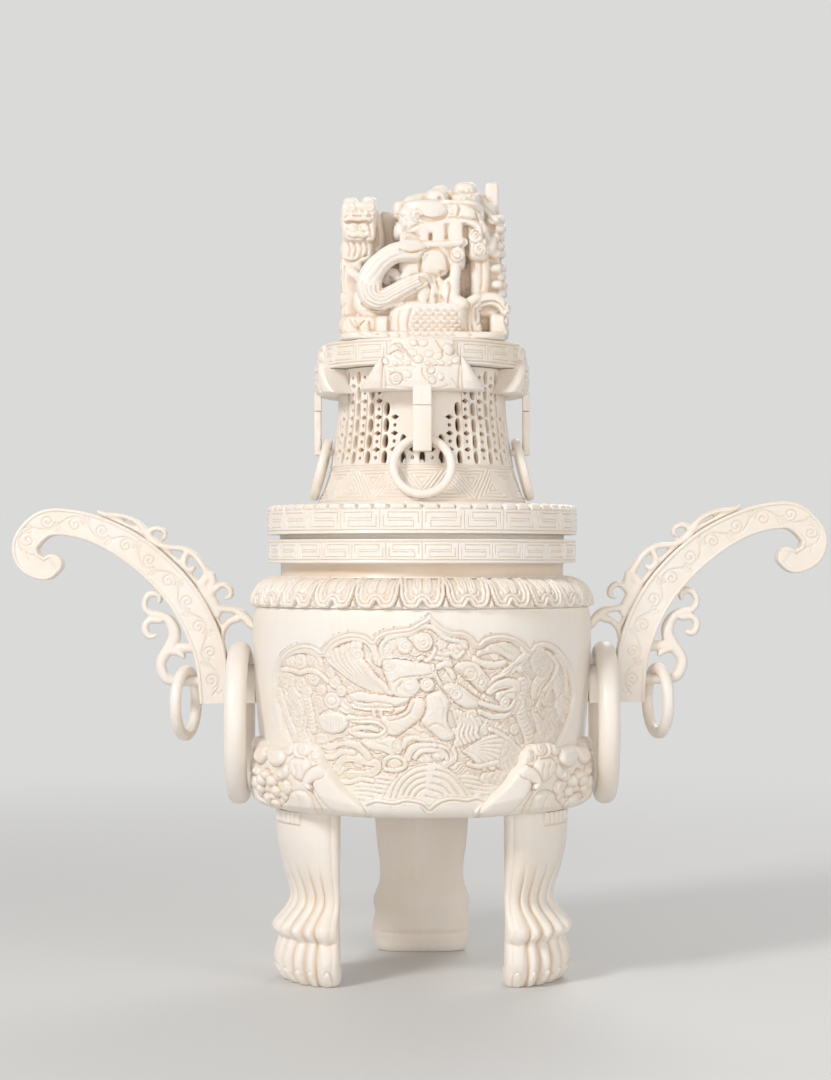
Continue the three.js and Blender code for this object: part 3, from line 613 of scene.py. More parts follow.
def peg(name, radius, low, high, at=(0, 0), along="Z"):
    """A whittled peg with chamfered ends"""
    middle = (low + high) / 2 * MM
    place = (at[0] * MM, at[1] * MM, middle) if along == "Z" else (middle, at[0] * MM, at[1] * MM)
    turn = (0, 0, 0) if along == "Z" else (0, math.pi / 2, 0)
    bpy.ops.object.select_all(action="DESELECT")
    bpy.ops.mesh.primitive_cylinder_add(vertices=32, radius=radius * MM, depth=(high - low) * MM,
                                        location=place, rotation=turn)
    piece = bpy.context.object
    piece.name = name
    settle(piece)
    ease_edges(piece, segments=2)
    return piece


def loose_ring(name, radius, tube, centre, turn, square=2.3):
    """A loose ring whose section is a little squarer than round, as if cut from flat stock"""
    bpy.ops.object.select_all(action="DESELECT")
    bpy.ops.mesh.primitive_torus_add(major_radius=radius * MM, minor_radius=tube * MM,
                                     major_segments=112, minor_segments=28)
    piece = bpy.context.object
    piece.name = name
    fullest = 1.035
    for vertex in piece.data.vertices:
        x, y, z = vertex.co
        out = math.hypot(x, y)
        angle = math.atan2(z, out - radius * MM)
        c, s = abs(math.cos(angle)), abs(math.sin(angle))
        reach = tube * MM * (c ** square + s ** square) ** (-1 / square)
        reach = min(reach, tube * MM * fullest) / fullest
        scale = (radius * MM + reach * math.cos(angle)) / out
        vertex.co = (x * scale, y * scale, reach * math.sin(angle))
    piece.rotation_euler = turn
    piece.location = [v * MM for v in centre]
    settle(piece)
    return piece


def plain_pieces():
    floor = spun("bowl_floor", [[0.01, FLOOR_LOW], [FLOOR_REACH, FLOOR_LOW], [FLOOR_REACH, FLOOR_HIGH],
                                [0.01, FLOOR_HIGH]], 0.5, 96)
    finish(floor, "burner", "carved_white", "bowl_floor")

    neck = spun("neck_ring", [
        [MOUTH, COLLAR_TOP], [NECK, COLLAR_TOP], [NECK, COLLAR_TOP + 0.5], [NECK - 0.35, COLLAR_TOP + 1],
        [NECK - 0.35, RIM_FOOT - 0.6], [NECK, RIM_FOOT], [MOUTH, RIM_FOOT],
    ], 0.2)
    finish(neck, "burner", "polished_white", "neck_ring")

    locator = spun("cover_locating_ring", [
        [LOCATOR_INNER, LOCATOR_FOOT], [LOCATOR_OUTER, LOCATOR_FOOT], [LOCATOR_OUTER, RIM_TOP],
        [NECK, RIM_TOP], [NECK, COVER_FOOT], [LOCATOR_INNER, COVER_FOOT],
    ], 0.3)
    finish(locator, "cover", "carved_white", "cover_locating_ring")

    for place, angle in LEGS.items():
        x, y = LEG_CENTRE * math.sin(angle * DEGREES), -LEG_CENTRE * math.cos(angle * DEGREES)
        finish(peg(f"leg_peg_{place}", 4, 68, 88, (x, y)), "burner", "peg_stock", f"leg_peg_{place}")
    finish(peg("finial_peg", 4, 285, 309), "cover", "peg_stock", "finial_peg")
    for side, sign in (("left", -1), ("right", 1)):
        low, high = sorted((sign * 71.5, sign * 90.2))
        pin = peg(f"handle_pin_{side}", 2.5, low, high, (0, TENON_HEIGHT), "X")
        finish(pin, "burner", "peg_stock", f"handle_pin_{side}")


plain_pieces()

# The bowl and its two carved panels

# The panel was drawn on a sheet as it is seen from the front: units across from the left, and down
SHEET_UNIT, SHEET_LEFT, SHEET_TOP = 0.10435, -80.16, 182.0
EYE_HEIGHT, EYE_DISTANCE, EYE_ASIDE = 197.0, 1152.0, -3.1
PANEL_RADIUS = 79.5
# How deep the panel's ground lies under its forms as drawn, the bowl's rebate, and the panel's back in it
GROUND, REBATE, PANEL_BACK = -3.0, 4.3, 5.4


def on_sheet(stations, line=BOWL_LINE):
    """Stations drawn on the sheet, laid on the belly: across as an arc, and up. Widths stay"""
    stations = np.array(stations, float)
    across = SHEET_LEFT + SHEET_UNIT * stations[:, 0]
    up = SHEET_TOP - SHEET_UNIT * stations[:, 1]
    angle, radius = np.zeros(len(across)), np.full(len(across), 79.0)
    for _ in range(12):
        near = 1 - radius * np.cos(angle) / EYE_DISTANCE
        height = EYE_HEIGHT + (up - EYE_HEIGHT) * near
        radius = radius_on(line, height)
        x = EYE_ASIDE + (across - EYE_ASIDE) * near
        angle = np.arcsin(np.clip(x / radius, -0.995, 0.995))
    laid = np.stack([PANEL_RADIUS * angle, height], 1)
    return np.hstack([laid, stations[:, 2:]])


FRAME_OUTLINE = [[150, 700], [112, 610], [88, 500], [86, 400], [105, 325], [150, 275], [215, 250],
    [270, 258], [303, 280], [318, 262], [350, 228], [400, 205], [455, 198], [510, 210], [541, 233],
    [556, 212], [600, 188], [660, 178], [715, 170], [750, 150], [785, 130], [805, 108], [826, 133],
    [862, 165], [905, 188], [955, 190], [1002, 212], [1030, 243], [1048, 225], [1090, 208], [1145, 204],
    [1200, 218], [1245, 244], [1270, 268], [1290, 246], [1335, 236], [1390, 258], [1438, 315], [1468, 390],
    [1477, 480], [1462, 575], [1432, 655], [1395, 730], [1330, 800], [1270, 880], [1200, 950], [1120, 985],
    [1060, 978], [1020, 966], [975, 976], [930, 970], [885, 972], [840, 990], [803, 1018], [770, 992],
    [735, 982], [690, 977], [650, 988], [605, 986], [560, 980], [525, 990], [480, 1005], [400, 975],
    [320, 900], [230, 800]]


def frame_outline():
    return smooth_path(on_sheet(FRAME_OUTLINE), closed=True, spacing=0.6)


class PanelRelief(Relief):
    """A relief whose bands are flat on top, and have one width where their stations name none"""

    def band(self, stations, width, level, rise, texture=None, sink=0.7):
        stations = np.array(stations, float)
        if stations.shape[1] == 2:
            stations = np.hstack([stations, np.full((len(stations), 1), float(width))])
        super().band(stations, level, rise, texture, sink, square=3.4)


def sea(panel):
    """The sea, and the mountain that stands in it"""
    for row in range(8):
        y = 868 + 19 * row
        for low, high, swing in ((300, 650, 1), (900, 1200, -1)):
            x = np.linspace(low, high, 12)
            wave = y + swing * 9 * np.sin((x - low) / (high - low) * 2.2 * math.pi + 0.35 * row)
            panel.band(np.stack([x, wave], 1), 1.9, -2.5, 1.5, sink=0.25)
    panel.plate([[585, 975], [610, 915], [660, 855], [720, 815], [790, 797], [860, 805], [920, 845],
        [970, 905], [1010, 955], [1015, 990], [900, 985], [803, 1022], [700, 990], [620, 990]], -1.6, 1.3,
        edge=3)
    for reach in range(5):
        r = 178 - 26 * reach
        angle = np.linspace(190, 92 + 3 * reach, 14) * DEGREES
        panel.line(np.stack([800 + r * np.cos(angle), 985 - r * np.sin(angle)], 1), 0.75, 0.7)
    for reach in range(5):
        x, y = 835 - 12 * reach, 828 + 30 * reach
        panel.line([[x, y], [x + 60, y + 20], [x + 110 - 8 * reach, y + 65], [x + 150 - 20 * reach,
            y + 125 - 16 * reach]], 0.75, 0.7)


def sea_clouds(panel):
    """Clouds and spray over the sea"""
    for x, y, r in ((640, 800, 3.6), (845, 755, 3.4), (705, 700, 3), (780, 690, 3), (560, 720, 3.2),
            (475, 785, 3.3), (345, 745, 3.3), (420, 700, 2.8), (300, 690, 3), (930, 660, 3),
            (250, 770, 3.2), (1060, 640, 2.6), (345, 870, 2.6), (380, 820, 3)):
        panel.curl(x, y, r, -2.2, 1.5, 1.3, (x * 7) % 360)
    panel.band([[700, 775], [720, 735], [780, 712], [850, 712], [905, 735], [915, 775], [880, 800]], 3.6,
        -1.9, 1.5, hair(1.1, 0.35))
    panel.band([[735, 772], [760, 745], [815, 738], [870, 750], [885, 775]], 2.2, -1.5, 1.3)
    panel.boss(845, 765, (2.8, 1.7), -1.2, 1.2, ring=0.6)
    panel.band([[590, 812], [600, 780], [640, 765], [680, 780], [690, 810], [650, 830], [600, 825]], 2.0,
        -1.8, 1.3)
    panel.band([[680, 720], [700, 690], [740, 680], [775, 695], [815, 690], [830, 715]], 2.4, -1.7, 1.3)
    panel.band([[370, 820], [400, 780], [450, 775], [500, 790], [560, 800], [550, 835], [500, 850],
        [430, 850]], 3.6, -1.9, 1.4, hair(1.0, 0.45))
    panel.band([[290, 700], [340, 720], [400, 700], [470, 720], [520, 770]], 3.4, -1.9, 1.4, hair(1.1, 0.4))
    panel.band([[300, 760], [350, 770], [400, 745], [450, 750]], 2.6, -1.8, 1.2)
    panel.plate([[485, 690], [540, 675], [610, 672], [665, 690], [675, 720], [650, 755], [620, 760],
        [580, 742], [530, 735], [500, 715]], -1.7, 1.5)
    panel.boss(655, 725, (2.0, 3.0), -0.8, 0.9, ring=0.6)
    panel.line([[500, 700], [550, 700], [610, 720]], 0.5, 0.5)
    panel.band([[320, 900], [370, 880], [430, 885], [480, 870], [540, 880]], 2.2, -2.0, 1.2)


def left_dragon_body(panel):
    """The left dragon's mane, tail and scaled body"""
    panel.band([[165, 470], [195, 520], [212, 590], [205, 650], [235, 720], [245, 790]], 6.4, -1.9, 1.9,
        scales(1.9, 0.6))
    panel.band([[105, 470], [125, 540], [150, 610], [180, 680]], 4.6, -2.2, 1.5, scales(1.7, 0.5))
    panel.band([[225, 470], [240, 520], [252, 580], [262, 640]], 4.4, -1.7, 1.6, plates(1.8, 0.6))
    for x, y, r in ((155, 325, 3.2), (205, 330, 3.8), (255, 320, 3.2), (135, 380, 3.0), (265, 405, 3.6),
            (205, 435, 3.6), (160, 415, 3.0), (290, 350, 3.0), (235, 470, 2.8), (300, 460, 2.8)):
        panel.curl(x, y, r, -2.0, 1.5, 1.35, (x * 11) % 360)
    panel.band([[140, 300], [180, 282], [230, 280], [280, 300], [300, 340]], 2.6, -1.5, 1.3, hair(1.1, 0.35))
    panel.band([[120, 365], [160, 368], [200, 380], [245, 370], [290, 385], [330, 420]], 2.4, -1.4, 1.3)
    panel.boss(350, 510, (4.6, 3.8), -1.7, 1.8, ring=0.55)
    panel.boss(350, 510, (2.2, 1.8), -0.6, 0.8)
    panel.plate([[288, 590], [310, 562], [360, 560], [410, 575], [425, 610], [400, 650], [350, 660],
        [305, 640]], -1.5, 2.0, texture=lambda x, y: -0.35 * peak((x / 1.5) % 1, 0.5, 0.16))
    for shift in range(7):
        lean = 26 * shift
        panel.band([[322 + lean, 300 - 10 * shift], [350 + 0.8 * lean, 330 - 4 * shift], [400 + 0.75 * lean,
            370], [470 + 0.6 * lean, 420], [545 + 0.4 * lean, 455], [622, 470]], 3.3, -1.6 + 0.08 * shift,
            1.9, hair(1.15, 0.45), sink=0.8)
    panel.band([[330, 300], [350, 255], [400, 228], [455, 218], [510, 232], [545, 270], [560, 330]], 3.4,
        -1.3, 1.5, hair(1.1, 0.45))
    for x, y, r in ((470, 300, 3.0), (365, 425, 3.0), (395, 465, 2.6), (345, 380, 2.4)):
        panel.curl(x, y, r, -0.6, 1.0, 1.3, (x * 5) % 360)
    panel.band([[440, 500], [480, 490], [530, 500], [590, 505], [640, 515], [680, 505], [700, 470]], 4.2,
        -1.3, 1.7)
    panel.band([[455, 530], [520, 540], [560, 535], [620, 545]], 3.4, -1.5, 1.5, hair(1.2, 0.3))
    panel.band([[430, 590], [480, 600], [540, 598], [590, 620], [602, 650], [570, 672], [500, 672],
        [440, 650]], 3.2, -1.6, 1.6)
    panel.band([[450, 640], [510, 632], [560, 645]], 2.2, -1.0, 1.1)
    panel.band([[540, 540], [548, 580]], 1.8, -1.2, 1.1)
    panel.band([[575, 540], [580, 580], [600, 600]], 1.8, -1.2, 1.1)


def left_dragon_head(panel):
    """The left dragon's face and forelimb"""
    panel.plate([[578, 345], [590, 320], [640, 315], [700, 322], [760, 330], [815, 345], [838, 375],
        [828, 405], [780, 405], [745, 415], [752, 455], [728, 488], [680, 495], [640, 485], [618, 450],
        [600, 405]], -1.0, 2.3, edge=3.4)
    panel.band([[572, 345], [585, 315], [640, 305], [700, 310], [750, 322]], 1.8, 0.2, 1.0)
    panel.boss(612, 350, (2.6, 2.2), 0.6, 1.0, ring=0.5)
    panel.boss(715, 440, (4.4, 3.6), 0.2, 1.4, ring=0.75)
    panel.line([[640, 425], [670, 405], [720, 398], [780, 395], [830, 380]], 0.7, 0.7)
    panel.line([[650, 480], [655, 450], [680, 425]], 0.5, 0.5)
    panel.curl(792, 437, 3.2, -0.3, 1.3, 1.2, 60)
    panel.band([[820, 350], [835, 400], [860, 440], [895, 475], [905, 510]], 1.8, -0.6, 1.2)
    panel.plate([[578, 600], [590, 582], [640, 578], [690, 565], [712, 520], [725, 498], [770, 500],
        [785, 530], [770, 575], [745, 605], [700, 640], [655, 668], [620, 668], [595, 640]], -1.4, 2.3,
        edge=3)
    panel.band([[620, 590], [660, 582], [700, 560], [722, 515]], 1.7, 0.3, 0.8)
    panel.plate([[785, 500], [800, 478], [850, 462], [880, 490], [898, 525], [885, 570], [890, 620],
        [915, 665], [905, 690], [860, 690], [820, 660], [780, 625], [765, 600], [785, 560]], -1.5, 2.4,
        edge=3.4)
    panel.line([[800, 630], [830, 615], [870, 630], [900, 660]], 0.6, 0.6)
    panel.line([[850, 500], [870, 540], [865, 590]], 0.4, 0.5)


def pearl(panel):
    """Clouds and the flaming pearl under the frame's peak"""
    for x, y, r in ((620, 245, 3.6), (665, 230, 3.4), (690, 262, 3.2), (600, 275, 3.0), (735, 215, 2.8),
            (860, 255, 2.6), (915, 270, 2.6), (960, 255, 2.6), (880, 295, 2.4), (930, 300, 2.4)):
        panel.curl(x, y, r, -1.9, 1.5, 1.35, (x * 13) % 360)
    panel.band([[575, 300], [580, 260], [610, 225], [660, 208], [715, 200], [760, 175], [800, 168],
        [840, 190], [880, 222], [950, 240], [975, 262]], 2.2, -1.4, 1.3, hair(1.2, 0.3))
    panel.band([[830, 280], [870, 300], [900, 290], [930, 310], [960, 285]], 2.0, -1.2, 1.1)
    panel.band([[800, 300], [850, 315], [900, 325]], 1.8, -1.2, 1.1)
    panel.boss(775, 240, (4.2, 4.2), -0.8, 2.0, ring=0.72)
    panel.whorl(775, 240, 2.2, 1.2, 90, inner=0.2)
    panel.band([[745, 330], [765, 310], [790, 325], [815, 305], [830, 270]], 1.8, -0.8, 1.1)


def right_dragon_body(panel):
    """The right dragon's neck, body and tail"""
    panel.band([[1310, 290], [1345, 310], [1362, 350], [1345, 395], [1312, 430], [1300, 470]], 6.8, -1.7,
        2.0, scales(1.9, 0.6))
    panel.band([[1395, 420], [1415, 470], [1412, 530], [1390, 585], [1370, 640], [1335, 690]], 7.6, -1.8,
        2.0, scales(1.9, 0.6))
    panel.band([[1300, 560], [1320, 610], [1330, 660], [1300, 690]], 6.0, -1.9, 1.8, scales(1.8, 0.5))
    panel.band([[1235, 430], [1228, 480], [1222, 540], [1240, 600], [1262, 650], [1270, 700]], 6.4, -1.5,
        1.9, plates(2.2, 0.6))
    panel.band([[1350, 288], [1388, 318], [1397, 365], [1372, 420], [1338, 465], [1318, 510], [1302, 548]],
        2.6, -0.6, 1.5, beads(1.7, 0.55), sink=0.9)
    panel.band([[1400, 300], [1435, 360], [1446, 430], [1440, 480]], 2.4, -1.8, 1.3)
    panel.band([[1330, 480], [1345, 520], [1360, 480], [1375, 440]], 3.0, -2.1, 1.4, scales(1.6, 0.4))
    panel.band([[1150, 700], [1190, 735], [1225, 780], [1240, 830]], 6.2, -1.9, 1.8, scales(1.7, 0.55))
    panel.band([[1060, 865], [1110, 860], [1160, 840], [1195, 805]], 4.6, -2.0, 1.6, scales(1.6, 0.5))
    fan = np.array([965.0, 742.0])
    for turn, reach in zip(range(-24, 40, 9), (165, 182, 190, 192, 186, 172, 150, 120)):
        tip = fan + reach * np.array([math.cos(turn * DEGREES), math.sin(turn * DEGREES)])
        middle = fan + 0.55 * (tip - fan) + np.array([0, -8])
        panel.band(np.vstack([[*fan, 1.2], [*middle, 2.6], [*tip, 3.0]]), 0, -1.5, 1.5, sink=0.7)
    panel.band([[985, 800], [1030, 812], [1085, 800], [1125, 790]], 2.2, -1.2, 1.2)
    for x, y, r in ((960, 600, 2.8), (1000, 570, 2.6), (1025, 610, 2.4), (990, 640, 2.6), (940, 700, 2.6),
            (1150, 590, 2.4), (1200, 640, 2.6), (1180, 690, 2.4), (1290, 730, 2.8), (1240, 730, 2.4)):
        panel.curl(x, y, r, -1.8, 1.5, 1.3, (x * 3) % 360)
    for shift in range(5):
        panel.band([[935 + 16 * shift, 560 + 6 * shift], [950 + 18 * shift, 610 + 4 * shift],
            [930 + 22 * shift, 660], [950 + 20 * shift, 710 - 8 * shift]], 2.0, -1.5, 1.4, sink=0.7)
    panel.band([[1085, 640], [1130, 660], [1175, 690], [1215, 730], [1250, 760]], 2.2, -1.2, 1.3)


def right_dragon_head(panel):
    """The right dragon's head, horn and crest"""
    for shift in range(6):
        panel.band([[1035 + 12 * shift, 292 - 6 * shift], [1100 + 10 * shift, 262 - 2 * shift + 8 * shift],
              [1165 + 8 * shift, 255 + 14 * shift], [1215 + 4 * shift, 290 + 9 * shift]], 2.7, -1.4, 1.7,
             hair(1.1, 0.4), sink=0.7)
    panel.band([[1240, 262], [1255, 300], [1225, 325], [1195, 355], [1160, 380]], 4.4, -1.3, 1.8,
        hair(1.3, 0.35))
    panel.boss(1225, 362, (2.2, 2.0), -0.8, 1.3, ring=0.6)
    panel.plate([[1010, 300], [1040, 318], [1100, 330], [1160, 322], [1150, 350], [1090, 362], [1040, 352],
        [1000, 330]], -1.4, 1.6)
    panel.plate([[918, 362], [940, 335], [985, 328], [1030, 345], [1065, 385], [1085, 420], [1070, 450],
        [1045, 470], [1010, 440], [985, 415], [950, 390]], -0.8, 2.2, edge=2.8)
    panel.curl(992, 388, 3.0, 1.0, 1.0, 1.25, 200)
    panel.boss(1042, 425, (3.0, 2.2), 1.0, 0.9, 40, ring=0.6)
    panel.plate([[862, 445], [890, 430], [930, 432], [965, 450], [1000, 480], [1040, 505], [1030, 535],
        [985, 545], [940, 530], [905, 500], [880, 470]], -0.9, 2.1, edge=2.6)
    panel.curl(925, 478, 2.8, 0.9, 1.0, 1.2, 20)
    panel.line([[890, 440], [945, 452], [990, 490], [1030, 515]], 0.6, 0.6)
    panel.band([[1085, 460], [1110, 440], [1160, 430], [1205, 440], [1185, 475], [1130, 490]], 4.8, -1.0,
        1.9)
    panel.line([[1100, 455], [1140, 445], [1185, 450]], 0.5, 0.5)
    panel.band([[1040, 520], [1085, 535], [1130, 545], [1175, 540], [1200, 510], [1190, 488], [1160, 492],
        [1140, 515], [1150, 535]], 2.6, -0.5, 1.4, sink=0.9)
    panel.boss(1152, 515, (2.4, 2.4), 0.1, 1.2, ring=0.5)
    panel.band([[1040, 560], [1090, 580], [1150, 580], [1195, 555], [1215, 520]], 2.6, -1.0, 1.3,
        hair(1.2, 0.35))
    panel.band([[880, 350], [900, 375], [915, 400]], 2.6, -1.4, 1.4)
    panel.band([[845, 355], [870, 340], [900, 345]], 2.6, -1.3, 1.4)
    panel.band([[1075, 440], [1110, 405], [1160, 385], [1200, 350]], 1.8, -0.9, 1.1)


def rocks(panel):
    """Rough rocks"""
    for outline in ([[1285, 300], [1330, 285], [1372, 320], [1372, 365], [1345, 400], [1300, 385],
            [1275, 340]], [[1330, 560], [1375, 540], [1408, 575], [1400, 625], [1360, 665], [1325, 640]],
            [[1150, 700], [1190, 715], [1235, 770], [1225, 830], [1170, 850], [1130, 800]],
            [[1070, 850], [1120, 830], [1180, 845], [1140, 890], [1085, 885]]):
        panel.plate(outline, -1.6, 1.3, texture=grain)


def deep_cuts(panel):
    """The deep cuts that part the main forms"""
    for stations in ([[560, 250], [575, 310], [585, 350], [603, 410], [620, 462]], [[590, 318], [640, 306],
            [720, 316], [758, 332], [790, 308]], [[650, 572], [690, 552], [712, 505]],
            [[838, 464], [790, 484], [790, 560], [758, 612], [775, 640]], [[826, 372], [850, 432],
            [903, 500], [890, 530]], [[858, 447], [890, 435], [950, 446], [1040, 502]],
            [[925, 360], [975, 405], [1050, 482]], [[1045, 485], [1100, 425], [1155, 402], [1200, 352],
            [1268, 312]], [[1205, 470], [1188, 560], [1128, 622]], [[1375, 290], [1396, 350], [1312, 455],
            [1300, 540], [1335, 592]], [[1428, 350], [1440, 432], [1392, 520], [1402, 580]],
            [[430, 488], [462, 532], [560, 542], [640, 540], [690, 518]], [[290, 572], [350, 566],
            [415, 574]], [[420, 602], [560, 602], [606, 650], [560, 682], [470, 684], [290, 712]],
            [[690, 750], [712, 712], [790, 700], [880, 718], [915, 760]], [[200, 500], [222, 560],
            [214, 660]], [[905, 560], [930, 640], [905, 735]]):
        panel.line(stations, 0.75, 0.8)


def dragon_relief(across, up):
    """Two dragons over the sea, with the pearl between them, inside a lobed frame"""
    relief = PanelRelief(across, up, GROUND, sheet=on_sheet)
    for drawing in (sea, sea_clouds, left_dragon_body, left_dragon_head, pearl, right_dragon_body,
            right_dragon_head, rocks, deep_cuts):
        drawing(relief)
    within = depth_inside(across, up, frame_outline())

    # Low forms over a ground of flowing lines
    ground = eased(relief.form, -2.9, -2.4)
    height = -1.35 + 0.42 * (np.minimum(relief.form, 1.2) - GROUND) - 0.85 * np.minimum(relief.cut, 1.1)
    height = height + (1 - ground) * (0.5 + 0.3 * flow(across, up)) + 0.1 * ground * flow(up + 30, across)
    height = height - 0.8 * eased(across, 46, 62)

    # The frame: a bead, a cut line and a plain band that steps down to the ground
    step = eased(within, 2.3, 3.0)
    frame_height = 0.34 * peak(within, 1.1, 0.6) - 0.62 * peak(within, 0.1, 0.36)
    frame_height = frame_height - 0.5 * peak(within, 2.0, 0.3) + 0.05
    height = np.where(within > 2.0, frame_height * (1 - step) + height * step, frame_height)
    outside = 0.12 * np.clip(-within - 1.5, 0, 2) + 1.3 * eased(-within, 3.1, 3.8)
    return height - outside, within


def flow(across, up):
    """Close lines that stream and bend, as in drifting cloud, between -1 and 1"""
    bend = 3.1 * np.sin(0.21 * across + 0.13 * up) + 1.7 * np.sin(0.47 * across - 0.31 * up + 1)
    bend = bend + 0.8 * np.sin(0.83 * up + 0.55 * across + 2)
    return np.sin(2 * math.pi * (up + bend) / 1.8)


def grain(across, up):
    """A rough rock's pits and grains, in mm"""
    return 0.4 * np.sin(4.3 * across + 2 * np.sin(2.9 * up)) * np.sin(4.7 * up + 2
        * np.sin(2.5 * across)) - 0.2


def panel(name, facing, pitch):
    """A carved panel let into the bowl, whose surface dips under the bowl's round its frame"""
    half = 68.5
    count = int(2 * half * DEGREES * PANEL_RADIUS / pitch)
    angle = np.linspace(-half, half, count) * DEGREES
    height = np.arange(82.4, 174.1, pitch)
    across, up = np.meshgrid(PANEL_RADIUS * angle, height, indexing="ij")
    relief, within = dragon_relief(across, up)
    radius = radius_on(BOWL_LINE, up)
    outer = on_cylinder(angle[:, None], radius + relief, up)
    back_height = np.array([height[-1], height[0]])
    back = on_cylinder(angle[:, None], radius_on(BOWL_LINE, back_height) - PANEL_BACK, back_height)
    rings = np.concatenate([outer, back], 1)
    if facing:
        rings = rings * np.array([-1, 1, 1])
        rings = rings @ turned(180).T
    piece = carved(name, loft(rings))
    # Painted shade on the panel's deep ground inside the frame, added to that of its hollows
    deep = eased(-relief, 0.8, 1.8) * eased(within, 2.2, 3.2) * 0.3
    deep = np.concatenate([deep, np.zeros((count, 2))], 1).ravel()
    finish(piece, "burner", "carved_white", crease=60, rounds=9, depth=0.3, shade_strength=0.8, deep=deep)


def bowl():
    """The turned bowl, hollow, with a rebate on each side that takes a carved panel"""
    count = 540
    angle = np.arange(count) * 2 * math.pi / count
    height = np.concatenate([[80.0, 80.6], np.arange(82, 173.9, 1.0), [174.1, 174.5]])
    profile = smooth_path(BOWL_LINE, spacing=0.3)
    radius = np.interp(height, profile[:, 1], profile[:, 0])
    radius[0] -= 0.5
    radius[-1] -= 0.4
    folded = np.abs((angle + math.pi) % (2 * math.pi) - math.pi)
    folded = np.where(folded > math.pi / 2, math.pi - folded, folded) * np.sign(np.sin(angle))
    across, up = np.meshgrid(PANEL_RADIUS * folded, height, indexing="ij")
    within = depth_inside(across, up, frame_outline())
    radius = np.where(within > -0.5, radius - REBATE, radius)
    outer = on_cylinder(angle[:, None], radius, up)
    inner_line = np.array([[71.6, 174.5], [71.6, 168.6], [73.0, 160], [71.5, 131], [68.7, 99], [67, 94],
        [67, 88.3], [66.4, 88], [52.4, 88], [52, 87.5], [52, 80.5], [52.5, 80]])
    inner = on_cylinder(angle[:, None], *inner_line.T)
    piece = carved("bowl", loft(np.concatenate([outer, inner], 1), around=True))
    finish(piece, "burner", "polished_white", "bowl")


bowl()
panel("dragon_panel_front", 0, 0.43)
panel("dragon_panel_back", 1, 0.62)

# The petal collar


